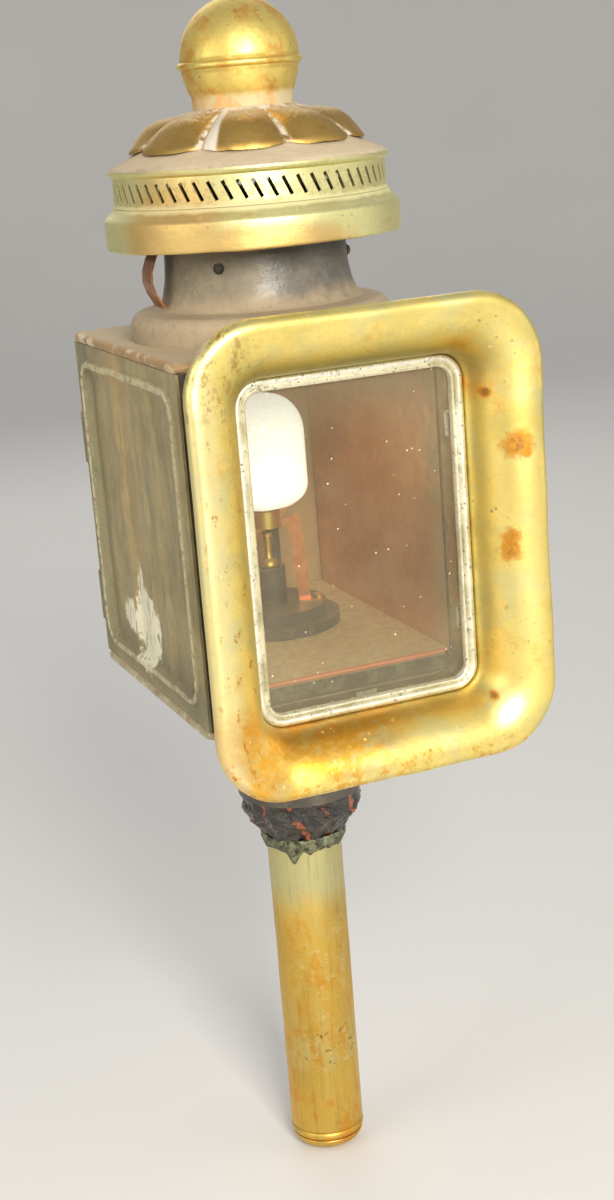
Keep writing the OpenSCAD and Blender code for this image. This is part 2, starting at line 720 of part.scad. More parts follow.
// The ball finial: a drawn-in foot, a bead at its waist and a round crown
module finial() color(BRASS) difference() {
    rotate_extrude($fn = fn) polygon(concat(
        [[0, crown_z], [18.2, crown_z], [18.4, crown_z + 4]],
        [[19.6, 289.6], [20.6, 293], [finial_r - 0.3, 296]],
        [for (i = [0 : 6]) let (a = -90 + 180 * i / 6)
            [finial_r - 0.2 + waist_r * cos(a), waist_z + waist_r * sin(a)]],
        [for (i = [0 : 16]) let (a = 90 * i / 16)
            [i == 16 ? 0 : finial_r * cos(a), ball_z + finial_r * sin(a)]]
    ));
    rod(stud_r, cone_top_z, stud_z1);
}

module finial_stud() color(BRASS) rod(stud_r, stud_z0, stud_z1);

module finial_nut() color(BRASS) difference() {
    translate([0, 0, 277.2]) cylinder(r = 6.4, h = 3.8, $fn = 6);
    rod(stud_r, stud_z0, stud_z1);
}

// A shallow cone below the cap's roof that turns rain and gusts away from the flue
module draught_baffle() color(DARK_TIN) rotate_extrude($fn = fn) polygon([
    [stud_r, 270.6], [14, 270], [30, 261.4], [30, 260.4], [13.8, 269], [stud_r, 269.6]
]);

// A collar that holds the baffle up on the stud
module baffle_legs() color(BRASS) tube(4.6, stud_r, 270.7, 277.1);

// ---- rear door ----

hinge_x = -half_w + 2.5;
hinge_y = body_back + 2.6;
hinge_heights = [96, 161];
pin_r = 1.2;
knuckle_r = 2.4;
knuckle_half = 10;
door_knuckle_half = 4;
door_y = body_back + 0.4;
door_t = 1.2;
door_bead = 1.2;
leaf_plate_t = 1;
door_left = hinge_x + knuckle_r + 0.5;
door_right = half_w - 0.4;

module knuckle(z0, z1, bore) tube(knuckle_r, bore, z0, z1);

module body_hinge_leaves() color(DUSTY_TIN) for (z = hinge_heights, end = [-1, 1]) {
    z0 = z + min(end * knuckle_half, end * (door_knuckle_half + 0.3));
    z1 = z + max(end * knuckle_half, end * (door_knuckle_half + 0.3));
    translate([hinge_x, hinge_y, 0]) {
        knuckle(z0, z1, pin_r);
        difference() {
            translate([-2.3, body_back - hinge_y, z0]) cube([3.4, leaf_plate_t, z1 - z0]);
            rod(pin_r + 0.5, z0 - 1, z1 + 1);
        }
    }
}

module hinge_pins() color(BRASS) for (z = hinge_heights) translate([hinge_x, hinge_y, 0]) {
    rod(pin_r, z - knuckle_half - 0.6, z + knuckle_half);
    rod(pin_r + 0.8, z + knuckle_half, z + knuckle_half + 0.9);
}

module door_hinge_leaves() color(DUSTY_TIN) for (z = hinge_heights)
    translate([hinge_x, hinge_y, 0]) difference() {
        union() {
            rod(knuckle_r, z - door_knuckle_half, z + door_knuckle_half);
            translate([0, knuckle_r - 1.1, z - door_knuckle_half])
                cube([12, 1.1, 2 * door_knuckle_half]);
            translate([1.4, door_y + door_t - hinge_y, z - door_knuckle_half])
                cube([10.6, hinge_y + knuckle_r - 0.6 - door_y - door_t, 2 * door_knuckle_half]);
        }
        rod(pin_r + 0.06, z - 20, z + 20);
    }

module rear_door() color(DUSTY_TIN) {
    door_w = door_right - door_left;
    door_x = (door_right + door_left) / 2;
    upright(door_y, door_t) translate([door_x, mid_z])
        round_rect(door_w, panel_h - 1, 4);
    translate([door_x, door_y + door_t, mid_z]) rotate([90, 0, 0])
        bar_loop(door_w - 30, panel_h - 24, 10, door_bead);
}

dish_r = 26;
dish_depth = 6;
dish_t = 0.9;
dish_back = body_back - 1.4;              // the dish's deepest point

// A dished reflector on the door's inner face, hollow towards the bulb
module rear_reflector() color(COPPER) {
    ball = (dish_r * dish_r + dish_depth * dish_depth) / (2 * dish_depth);
    difference() {
        translate([0, dish_back, mid_z]) rotate([90, 0, 0]) rotate_extrude($fn = fn) polygon(concat(
            [for (i = [0 : 10]) let (r = dish_r * i / 10)
                [r, ball - sqrt(ball * ball - r * r)]],
            [[dish_r + 3, dish_depth], [dish_r + 3, dish_depth + dish_t]],
            [for (i = [10 : -1 : 0]) let (r = dish_r * i / 10)
                [r, ball - sqrt(ball * ball - r * r) + dish_t]]
        ));
        at_rim_rivets() cylinder(r = 1, h = 30, $fn = 24);
    }
}

// The four places on the dish's rim, on the door's inner face and facing forward
module at_rim_rivets() for (a = [45 : 90 : 315])
    translate([(dish_r + 1.5) * cos(a), door_y, mid_z + (dish_r + 1.5) * sin(a)])
        rotate([90, 0, 0]) children();

// Four standoff rivets between the door and the reflector's rim
module reflector_rivets() color(BRASS) at_rim_rivets()
    rivet(1, door_y - dish_back + dish_depth + dish_t);

// A turn button on the rear frame's right side; it stands upright, clear of the door
catch_x = half_w + 2.6;
catch_z = mid_z;
catch_y = door_y + door_t + door_bead + 0.2;  // the button's inner face, clear of the door's bead
catch_t = 1.8;
catch_len = 13;

module catch_pivot() color(BRASS) {
    block_y = body_back - 5;
    block_d = 4.8;
    head_y = catch_y + catch_t + touch;
    translate([half_w, block_y, catch_z - 4]) cube([5, block_d, 8]);
    translate([catch_x, block_y + block_d, catch_z]) rotate([-90, 0, 0])
        cylinder(r = 1.3, h = head_y - block_y - block_d, $fn = 32);
    translate([catch_x, head_y, catch_z]) rotate([-90, 0, 0]) cylinder(r = 2.2, h = 1, $fn = 32);
}

module door_catch() color(BRASS) {
    difference() {
        union() {
            translate([catch_x, catch_y + catch_t, catch_z]) rotate([90, 0, 0])
                cylinder(r = 3.2, h = catch_t, $fn = 48);
            translate([catch_x - 1.9, catch_y, catch_z]) cube([3.8, catch_t, catch_len]);
            translate([catch_x, catch_y + catch_t, catch_z + catch_len]) rotate([90, 0, 0])
                cylinder(r = 1.9, h = catch_t, $fn = 32);
        }
        translate([catch_x, catch_y + 5, catch_z]) rotate([90, 0, 0])
            cylinder(r = 1.36, h = 10, $fn = 32);
    }
}

// ---- stem cap ----

bush_r = 4.5;

// The domed cap, with a bead above it, a spigot up the tube and a hole for a cable bush
module stem_cap() color(BRASS) rotate_extrude($fn = fn) polygon(concat(
    [[stem_r - stem_wall - 0.3, 8 - stem_len], [stem_r - stem_wall - 1.4, 8 - stem_len],
     [stem_r - stem_wall - 1.4, -stem_len - 4], [bush_r, -stem_len - stem_cap_len + 1.2],
     [bush_r, -stem_len - stem_cap_len]],
    [for (i = [0 : 8]) let (a = -75 + 75 * i / 8)
        [bush_r + 0.9 + (stem_r - bush_r - 1.4) * cos(a),
         -stem_len - 4.4 + (stem_cap_len - 4.8) * sin(a)]],
    [[stem_r - 0.6, -stem_len - 4.2]],
    [for (i = [0 : 6]) let (a = -80 + 160 * i / 6)
        [stem_r - 1.8 + 1.8 * cos(a), -stem_len - 2.2 + 1.8 * sin(a)]],
    [[stem_r - 0.7, -stem_len - 0.1], [stem_r - stem_wall - 0.3, -stem_len - 0.1]]
));

module cable_bush() color(BLACK) rotate_extrude($fn = 48) polygon([
    [3.2, -stem_len - stem_cap_len], [bush_r, -stem_len - stem_cap_len],
    [bush_r, -stem_len - stem_cap_len + 1.2], [bush_r + 1.4, -stem_len - stem_cap_len + 2.3],
    [bush_r + 1.4, -stem_len - stem_cap_len + 3.2], [3.2, -stem_len - stem_cap_len + 3.2]
]);

stem_tube();
stem_ferrule();
solder_seam();
base_funnel();
bottom_plate();
side_panel_left();
side_panel_right();
front_plate();
rear_frame();
top_plate();
front_throat();
bell_mouth();
glass_bezel();
front_glass();
glass_clips();
reflector_left();
reflector_right();
floor_plate();
chimney_neck();
inner_chimney();
neck_rivets();
cap_springs();
body_hinge_leaves();
hinge_pins();
catch_pivot();
holder_base();
holder_post();
holder_uprights();
socket_collar();
plunger_spring();
contact_leaf();
terminal_screws();
lead_wires();
stem_plug();
plug_screws();
rear_door();
door_hinge_leaves();
rear_reflector();
reflector_rivets();
door_catch();
cap_skirt();
cap_seat();
vent_gallery();
cap_cone();
petal_crown();
finial();
finial_stud();
finial_nut();
draught_baffle();
baffle_legs();
bulb_glass();
bulb_collar();
bulb_contact();
bulb_filament();
contact_plunger();
plunger_stop();
stem_cap();
cable_bush();
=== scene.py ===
"""The looks of a square carriage lamp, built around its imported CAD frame.

Blender works in metres; the outlines here are in millimetres. +Z is up and the front faces -Y.
"""
import json
import math
from functools import partial, reduce

import bpy
from mathutils import Matrix, Vector, noise


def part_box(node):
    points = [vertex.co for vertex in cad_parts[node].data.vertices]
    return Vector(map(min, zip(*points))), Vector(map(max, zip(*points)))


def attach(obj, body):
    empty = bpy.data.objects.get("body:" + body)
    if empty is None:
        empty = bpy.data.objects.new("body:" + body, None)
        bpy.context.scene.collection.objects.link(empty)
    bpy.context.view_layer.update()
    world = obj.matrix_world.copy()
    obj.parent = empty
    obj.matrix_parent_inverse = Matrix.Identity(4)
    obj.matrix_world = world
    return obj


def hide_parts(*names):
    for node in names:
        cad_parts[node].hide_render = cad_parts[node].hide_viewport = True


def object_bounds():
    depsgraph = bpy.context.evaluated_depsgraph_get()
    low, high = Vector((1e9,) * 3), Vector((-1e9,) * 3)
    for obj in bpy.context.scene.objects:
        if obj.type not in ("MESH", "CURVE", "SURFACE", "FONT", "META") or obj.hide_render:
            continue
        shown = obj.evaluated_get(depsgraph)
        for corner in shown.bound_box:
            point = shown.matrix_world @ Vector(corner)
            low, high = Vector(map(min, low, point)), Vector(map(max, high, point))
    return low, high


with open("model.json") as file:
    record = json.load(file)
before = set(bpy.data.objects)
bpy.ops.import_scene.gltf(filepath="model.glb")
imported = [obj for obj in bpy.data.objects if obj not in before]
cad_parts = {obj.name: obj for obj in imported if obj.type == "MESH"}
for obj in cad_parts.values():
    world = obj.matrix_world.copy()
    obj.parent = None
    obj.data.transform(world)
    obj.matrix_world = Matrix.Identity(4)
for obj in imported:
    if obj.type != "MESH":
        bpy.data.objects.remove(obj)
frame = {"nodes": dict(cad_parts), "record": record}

cad_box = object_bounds()

MM = 0.001
RECORD = frame["record"]
BODY_OF = {node: body for body, nodes in RECORD["behaviour"]["bodies"].items() for node in nodes}
SLOT_OF = {part["node"]: part["material_slot"] for part in RECORD["subparts"]}


# ---------------------------------------------------------------- camera, floor and light

CAMERA_PLACE = (-0.24365, -0.63554, 0.28848)
CAMERA_TURN = (21.709, 15.669, 4.564)      # yaw, pitch and roll in degrees
CAMERA_LENS = 54.945                       # millimetres, for a sensor 36 mm wide
LAMP_MIDDLE = (0, 0, 0.12)


def link(name, data):
    """A new object in the scene."""
    made = bpy.data.objects.new(name, data)
    bpy.context.scene.collection.objects.link(made)
    return made


def add_camera():
    """The camera stands ahead of the lamp, to its left and above the middle, a little tilted."""
    yaw, pitch, roll = (math.radians(angle) for angle in CAMERA_TURN)
    forward = Vector((math.sin(yaw) * math.cos(pitch), math.cos(yaw) * math.cos(pitch),
                      -math.sin(pitch)))
    right = Vector((math.cos(yaw), -math.sin(yaw), 0))
    down = forward.cross(right)
    across = right * math.cos(roll) + down * math.sin(roll)
    below = down * math.cos(roll) - right * math.sin(roll)
    data = bpy.data.cameras.new("camera")
    data.lens = CAMERA_LENS
    data.sensor_width = 36
    camera = link("camera", data)
    turn = Matrix((across, -below, -forward)).transposed()
    camera.matrix_world = Matrix.Translation(CAMERA_PLACE) @ turn.to_4x4()
    bpy.context.scene.camera = camera


def add_light(name, place, size, power, colour=(1, 1, 1)):
    """A square soft box that faces the middle of the lamp."""
    data = bpy.data.lights.new(name, "AREA")
    data.shape = "SQUARE"
    data.size = size
    data.energy = power
    data.color = colour
    light = link(name, data)
    aim = Vector(LAMP_MIDDLE) - Vector(place)
    light.matrix_world = Matrix.Translation(place) @ aim.to_track_quat("-Z", "Y").to_matrix().to_4x4()


def add_stage():
    """A pale floor that curves up into a backdrop all round, and a pale sky."""
    low = cad_box[0].z
    flat, bend, wall, steps = 2.2, 0.9, 1.9, 64
    rings = [(0.02, 0), (0.6, 0), (1.3, 0)] + arc((flat, bend), bend, -90, 0, 9) + [(flat + bend, wall)]
    turns = [2 * math.pi * i / steps for i in range(steps)]
    points = [(r * math.cos(a), r * math.sin(a), low + z) for r, z in rings for a in turns]
    faces = flipped(grid_faces(len(rings), steps, closed=False)) + [tuple(range(steps))]
    mesh = bpy.data.meshes.new("floor")
    mesh.from_pydata(points, [], faces)
    mesh.shade_smooth()
    floor = link("floor", mesh)
    paint = Paint("floor_pale", (214, 211, 204), rough=0.85)
    paint.over((222, 219, 213), paint.noise(400, detail=2))
    mesh.materials.append(paint.done())
    world = bpy.data.worlds.new("sky")
    world.use_nodes = True
    sky = world.node_tree.nodes["Background"].inputs
    sky["Color"].default_value = (0.92, 0.94, 1.0, 1)
    sky["Strength"].default_value = 0.58
    bpy.context.scene.world = world


# ---------------------------------------------------------------- materials

DUST = (192, 172, 138)
SOOT = (34, 31, 27)
RUN_BEARING = 231        # degrees round the stem: the solder's run and the crown's filled fold
PETALS = 8               # of the crown


def rgb(red, green, blue):
    """A display colour, 0 to 255 a channel, as the linear colour that a shader takes."""
    return tuple(c / 12.92 if c < 0.04045 else ((c + 0.055) / 1.055) ** 2.4
                 for c in (red / 255, green / 255, blue / 255))


class Paint:
    """A node material in the making. Most methods add nodes and return their output socket."""

    def __init__(self, name, base, rough=0.5, metal=0.0, **settings):
        self.material = bpy.data.materials.new(name)
        self.material.use_nodes = True
        self.tree = self.material.node_tree
        self.shader = self.tree.nodes["Principled BSDF"]
        for socket, value in settings.items():
            self.shader.inputs[socket.replace("_", " ")].default_value = value
        coordinates = self.tree.nodes.new("ShaderNodeTexCoord")
        self.place = coordinates.outputs["Object"]
        self.normal = coordinates.outputs["Normal"]
        self.tint, self.rough, self.metal = rgb(*base), rough, metal
        self.relief = self.dirt = self.mottle = None

    def add(self, kind, *values, **settings):
        """A node with its first input sockets set or linked, in order; None leaves one alone."""
        node = self.tree.nodes.new(kind)
        for name, value in settings.items():
            setattr(node, name, value)
        for socket, value in zip(node.inputs, values):
            self.give(socket, value)
        return node

    def give(self, socket, value):
        if isinstance(value, bpy.types.NodeSocket):
            self.tree.links.new(value, socket)
        elif isinstance(value, tuple) and len(value) == 3 and socket.type == "RGBA":
            socket.default_value = (*value, 1)
        elif value is not None:
            socket.default_value = value

    def axis(self, vector, index):
        return self.add("ShaderNodeSeparateXYZ", vector).outputs[index]

    def along(self, index):
        """One coordinate of the place on the object, in metres."""
        return self.axis(self.place, index)

    def math(self, operation, *values):
        return self.add("ShaderNodeMath", *values, operation=operation).outputs[0]

    def vector(self, operation, *values, output=0):
        return self.add("ShaderNodeVectorMath", *values, operation=operation).outputs[output]

    def sum(self, *values):
        return reduce(partial(self.math, "ADD"), values)

    def times(self, *values):
        return reduce(partial(self.math, "MULTIPLY"), values)

    def most(self, *values):
        return reduce(partial(self.math, "MAXIMUM"), values)

    def scaled(self, size, stretch=(1, 1, 1), shift=0.0):
        """The place on the object, in units of size millimetres, stretched and shifted."""
        scale = tuple(1 / (size * MM * s) for s in stretch)
        offset = (shift, shift * 1.7, shift * 0.6)
        return self.add("ShaderNodeMapping", self.place, offset, None, scale).outputs[0]

    def texture(self, kind, vector, **inputs):
        node = self.add(kind)
        self.give(node.inputs["Vector"], vector)
        for socket, value in {"Scale": 1, **inputs}.items():
            node.inputs[socket].default_value = value
        return node

    def noise(self, size, detail=4, rough=0.55, stretch=(1, 1, 1), shift=0.0, twist=0.0):
        return self.texture("ShaderNodeTexNoise", self.scaled(size, stretch, shift), Detail=detail,
                            Roughness=rough, Distortion=twist).outputs["Fac"]

    def cells(self, size, shift=0.0):
        return self.texture("ShaderNodeTexVoronoi", self.scaled(size, shift=shift)).outputs["Distance"]

    def level(self, value, low, high, to_low=0.0, to_high=1.0):
        """A smooth step as value goes from low to high; low may be the larger."""
        return self.add("ShaderNodeMapRange", value, low, high, to_low, to_high,
                        interpolation_type="SMOOTHSTEP").outputs[0]

    def cloud(self, size, low, high, to_low=0.0, to_high=1.0, **look):
        """A smooth step over noise; look is what noise takes."""
        return self.level(self.noise(size, **look), low, high, to_low, to_high)

    def mix(self, share, first, second):
        """Two linear colours or outputs mixed by a share."""
        node = self.add("ShaderNodeMix", data_type="RGBA", blend_type="MIX")
        for index, value in ((0, share), (6, first), (7, second)):
            self.give(node.inputs[index], value)
        return node.outputs[2]

    def over(self, colour, *shares):
        """Lays a display colour, or an output, over the tint by the product of the shares."""
        colour = rgb(*colour) if isinstance(colour, tuple) else colour
        self.tint = self.mix(self.times(*shares), self.tint, colour)

    def soil(self, *shares):
        """Adds the product of the shares to the dirt."""
        share = self.times(*shares)
        self.dirt = share if self.dirt is None else self.most(self.dirt, share)

    def spot(self, point, radius, soft, ragged=0.0, grain=6.0, stretch=(1, 1, 1)):
        """1 inside a ragged blot round a point, in millimetres, and 0 outside it."""
        offset = self.vector("SUBTRACT", self.place, tuple(c * MM for c in point))
        offset = self.vector("MULTIPLY", offset, tuple(1 / s for s in stretch))
        away = self.vector("LENGTH", offset, output="Value")
        if ragged:
            away = self.sum(away, self.times(self.noise(grain), -ragged * MM))
        return self.level(away, (radius + soft) * MM, (radius - soft) * MM)

    def band(self, index, low, high, soft, ragged=0.0, grain=8.0):
        """1 where a coordinate lies between low and high, in millimetres."""
        along = self.along(index)
        if ragged:
            along = self.sum(along, self.times(self.sum(self.noise(grain), -0.5), 2 * ragged * MM))
        rise = self.level(along, (low - soft) * MM, (low + soft) * MM)
        drop = self.level(along, (high + soft) * MM, (high - soft) * MM)
        return self.times(rise, drop)

    def wander(self, index, size, far, shift):
        """One coordinate, in metres, made uneven by noise times far."""
        return self.sum(self.along(index), self.times(self.noise(size, shift=shift), far))

    def radius(self):
        """The distance from the stem's axis, in metres."""
        flat = self.vector("MULTIPLY", self.place, (1, 1, 0))
        return self.vector("LENGTH", flat, output="Value")

    def bearing(self):
        """The angle round the stem's axis, in radians."""
        return self.math("ARCTAN2", self.along(1), self.along(0))

    def rim(self, low, high, width, soft):
        """1 within width millimetres of a plate's four sides, softly."""
        sides = []
        for index in (0, 1):
            along = self.along(index)
            for edge, inner in ((low[index], low[index] + width), (high[index], high[index] - width)):
                sides.append(self.level(along, inner * MM, (inner + (edge - inner) * soft) * MM))
        return self.most(*sides)

    def bump(self, height, depth):
        """Adds relief, depth millimetres deep where height is 1."""
        node = self.add("ShaderNodeBump")
        for socket, value in (("Strength", 1), ("Distance", depth * MM), ("Height", height),
                              ("Normal", self.relief)):
            self.give(node.inputs[socket], value)
        self.relief = node.outputs[0]

    def done(self):
        """The finished material. Dirt is neither metallic nor glossy."""
        if self.dirt is not None:
            self.metal = self.level(self.dirt, 0, 1, 1, 0.05)
            self.rough = self.sum(self.rough, self.times(self.dirt, 0.35))
        for socket, value in (("Base Color", self.tint), ("Roughness", self.rough),
                              ("Metallic", self.metal), ("Normal", self.relief)):
            self.give(self.shader.inputs[socket], value)
        return self.material


def brass(name, bright, dull, stain, shift=0.0, patchy=0.5, specks=0.5, gloss=0.3, dusty=0.0,
          stretch=(1, 1, 1)):
    """Old brass: bright metal clouded by dull and stained patches, with dark specks and dust."""
    paint = Paint(name, bright)
    clouds = paint.noise(34, detail=5, rough=0.6, shift=shift, twist=0.4, stretch=stretch)
    blots = paint.noise(15, detail=6, rough=0.65, shift=shift + 7, stretch=stretch)
    grain = paint.noise(1.3, detail=3, rough=0.7, shift=shift + 3)
    stained = paint.level(blots, 0.66 - 0.14 * patchy, 0.74)
    paint.over(dull, paint.level(clouds, 0.62 - 0.2 * patchy, 0.72))
    paint.over(stain, stained)
    paint.over(dull, paint.level(grain, 0.35, 0.75, 0, 0.28))
    dots = paint.times(paint.level(paint.cells(3.4, shift=shift), 0.24, 0.12),
                       paint.cloud(11, 0.62 - 0.12 * specks, 0.7, detail=3, shift=shift + 11))
    paint.over((84, 58, 26), dots, 0.85)
    paint.soil(dots)
    if dusty:
        lying = paint.level(paint.sum(paint.axis(paint.normal, 2), paint.times(grain, 0.5)),
                            1.1 - 0.5 * dusty, 1.35)
        dust = paint.most(lying, paint.level(clouds, 0.4, 0.75, 0.1 * dusty, 0.4 * dusty))
        paint.over(DUST, dust)
        paint.soil(dust)
    paint.rough = paint.sum(paint.times(clouds, 0.3), gloss - 0.1, paint.times(stained, 0.12),
                            paint.times(grain, 0.1))
    paint.bump(grain, 0.05)
    paint.bump(blots, 0.25)
    return paint


def bell_brass():
    paint = brass("bell_brass", (246, 222, 132), (212, 192, 104), (226, 170, 74), patchy=0.75,
                  specks=1.3, gloss=0.32)
    low, high = corners("bell_mouth")
    # golden patches: the lower left corner, the throat's foot, the upper right corner
    golden = paint.most(paint.spot((low.x + 5, low.y, low.z + 12), 16, 7, 12, 9),
                        paint.spot((low.x + 40, low.y + 12, low.z + 14), 9, 5, 12, 9, (2.2, 1, 0.7)),
                        paint.spot((high.x - 25, low.y + 15, high.z - 24), 8, 5, 10, 8))
    paint.over((232, 166, 42), golden,
               paint.cloud(3.2, 0.3, 0.58, 0.45, detail=5, rough=0.75, shift=23), 0.9)
    # tan painted shade along the throat's foot, grey-green patina over the flare, ochre along the lower rim
    paint.over((204, 150, 70), paint.band(2, low.z + 14, low.z + 21, 4, 3, 10),
               paint.band(1, low.y + 8, high.y, 4), 0.6)
    paint.over((208, 206, 152), paint.cloud(17, 0.46, 0.62, detail=6, rough=0.7, shift=61), 0.5)
    paint.over((222, 160, 50), paint.cloud(5, 0.5, 0.58, detail=6, rough=0.75, shift=71),
               paint.band(2, low.z - 2, low.z + 9, 4, 3, 9), 0.75)
    # a pale band along the left rim, part rubbed polish, part painted highlight; brown freckles over it
    paint.over((255, 246, 200), paint.band(0, low.x - 2, low.x + 9, 3), 0.35)
    freckle = paint.cloud(3.6, 0.58, 0.64, detail=6, rough=0.75, stretch=(1, 1, 1.6), shift=37)
    paint.over((196, 128, 40), freckle, paint.band(0, low.x + 2, low.x + 19, 2, 2, 9),
               paint.cloud(24, 0.36, 0.5, shift=2), 0.85)
    # the worn upper left corner
    paint.over((176, 142, 84), paint.spot((low.x + 8, low.y + 2, high.z - 13), 12, 6, 12, 7),
               paint.cloud(3.4, 0.5, 0.62, detail=6, rough=0.8, stretch=(1, 1, 1.8), shift=4), 0.75)
    # corrosion with dark hearts on the right flare, and small ones about it
    for height, across, size in ((110, 10.5, 3.6), (107.5, 8.0, 2.2), (78, 13.5, 2.2), (72.5, 13.8, 2.4),
                                 (128, 19, 1.1), (36, 8, 1.1), (52, 16, 0.9), (96, 5, 0.9),
                                 (140, 9, 0.8), (20, 22, 1.0)):
        middle = (high.x - across, low.y + 9.4, low.z + height)
        heart = paint.spot(middle, size * 0.3, size * 0.25, size * 1.2, 1.8, (1, 2.5, 1.3))
        paint.over((214, 140, 40),
                   paint.spot(middle, size * 0.8, size * 0.4, size * 1.5, 2.6, (1.0, 2.5, 1.1)), 0.85)
        paint.over((112, 74, 26), heart, 0.85)
        paint.soil(heart, 0.7)
    # olive painted shade along the throat's top
    paint.over((158, 148, 80), paint.band(2, high.z - 27, high.z - 9, 5, 4, 14),
               paint.band(1, low.y + 5, high.y, 5), 0.7)
    # painted shade on the back of the bell, the side turned towards the lamp's body; it is rougher there
    # too
    behind = paint.level(paint.axis(paint.normal, 1), 0.15, 0.5)
    paint.over((120, 100, 58), behind, 0.55)
    paint.rough = paint.sum(paint.rough, paint.times(behind, 0.2))
    return paint.done()


def stem_brass():
    paint = brass("stem_brass", (228, 194, 104), (190, 164, 92), (208, 148, 60), shift=2, patchy=0.8,
                  specks=0.6, gloss=0.34, stretch=(1, 1, 2.4))
    # golden lower down, grey-green under the ferrule, patina and tan patches over both
    golden = paint.level(paint.wander(2, 20, 0.03, 5), -0.006, -0.022)
    paint.over((214, 172, 70), golden, 0.55)
    paint.over((200, 196, 146), paint.level(paint.wander(2, 9, 0.012, 9), -0.024, -0.008), 0.85)
    paint.over((204, 194, 130),
               paint.cloud(13, 0.48, 0.62, detail=6, rough=0.7, stretch=(1, 1, 2.2), shift=51), 0.55)
    paint.over((216, 146, 44),
               paint.cloud(9, 0.52, 0.64, detail=6, rough=0.7, stretch=(1, 1, 1.8), shift=57), golden, 0.6)
    # pale scars and dark pits on the front
    scar = paint.most(paint.spot((1, -15, -51), 10, 5, 9, 8, (1, 2, 1.3)),
                      paint.spot((1, -15, -85), 9, 5, 9, 8, (1, 2, 1.2)))
    paint.over((226, 196, 136), scar,
               paint.cloud(4.5, 0.55, 0.62, detail=6, rough=0.75, stretch=(1, 1, 0.7), shift=21), 0.8)
    paint.over((112, 82, 40), paint.spot((2, -15, -87), 8, 4, 8, 6, (1.3, 2, 0.8)),
               paint.cloud(2.6, 0.56, 0.64, detail=5, rough=0.8, shift=33), 0.85)
    paint.over((150, 116, 56),
               paint.cloud(2, 0.5, 0.75, 0, 0.4, rough=0.7, stretch=(1, 1, 14), shift=13))
    return paint.done()


def cap_brass():
    paint = brass("cap_brass", (226, 220, 158), (190, 182, 116), (206, 164, 84), shift=5, patchy=0.6,
                  specks=0.9, gloss=0.34, dusty=0.55, stretch=(1.6, 1.6, 0.7))
    low, high = corners("cap_skirt")
    orange = paint.most(paint.spot((low.x + 12, low.y + 24, low.z + 7), 14, 7, 12, 9),
                        paint.spot((low.x + 34, low.y + 4, low.z + 1), 10, 5, 10, 8, (2.4, 1, 0.5)))
    paint.over((214, 160, 78), orange, 0.6)
    groove = paint.band(2, high.z - 1.6, high.z + 1.4, 1.2, 1.2, 7)
    paint.over((196, 186, 140), groove, 0.7)
    paint.soil(groove, 0.7)
    slots = paint.times(paint.band(2, high.z + 0.6, high.z + 9.5, 0.8),
                        paint.cloud(2.2, 0.5, 0.62, rough=0.7, shift=15))
    paint.over((160, 146, 98), slots, 0.5)
    paint.soil(slots, 0.35)
    return paint.done()


def crown_brass():
    paint = brass("crown_brass", (190, 154, 82), (138, 112, 64), (172, 118, 52), shift=9, patchy=0.9,
                  specks=0.6, gloss=0.36, dusty=0.12)
    # powder lies in the folds between the petals and round the middle
    turn = paint.bearing()
    lobes = paint.math("ABSOLUTE", paint.math("SINE", paint.times(turn, PETALS / 2)))
    powder = paint.cloud(4, 0.38, 0.58, detail=6, rough=0.75, shift=3)
    fold = paint.times(paint.level(lobes, 0.26, 0.04), powder)
    # one fold at the front left is filled with pale dirt
    near = paint.math("ABSOLUTE", paint.sum(turn, math.radians(360 - RUN_BEARING)))
    filled = paint.times(paint.level(near, 0.09, 0.04), 0.95)
    middle = paint.times(paint.level(paint.radius(), 0.0245, 0.0195), powder)
    dust = paint.most(fold, filled, middle)
    paint.over((208, 198, 178), dust)
    paint.soil(dust)
    return paint.done()


def finial_brass():
    paint = brass("finial_brass", (238, 212, 120), (206, 178, 94), (220, 156, 66), shift=14,
                  patchy=0.85, specks=1.0, gloss=0.36)
    low, high = corners("finial")
    foot = paint.level(paint.wander(2, 5, -0.004, 2), (low.z + 4.5) * MM, (low.z + 0.5) * MM)
    paint.over((190, 180, 150), foot, 0.8)
    paint.soil(foot, 0.7)
    waist = paint.most(paint.times(paint.band(2, low.z + 12.2, low.z + 13.4, 0.5),
                                   paint.cloud(6, 0.4, 0.55, shift=8)),
                       paint.times(paint.band(2, low.z + 16.3, low.z + 17.4, 0.5),
                                   paint.cloud(6, 0.4, 0.55, shift=4)))
    paint.over((120, 94, 44), waist, 0.45)
    paint.soil(waist, 0.3)
    paint.over((220, 150, 58), paint.cloud(13, 0.5, 0.62, detail=5, rough=0.65, shift=55), 0.6)
    paint.over((150, 112, 50), paint.cloud(3.4, 0.6, 0.66, detail=5, rough=0.8, shift=41),
               paint.band(2, low.z + 18, high.z + 2, 5), 0.75)
    return paint.done()


def small_brass():
    return brass("small_brass", (232, 196, 104), (196, 164, 86), (206, 150, 66), shift=19, patchy=0.3,
                 specks=0.3, gloss=0.3).done()


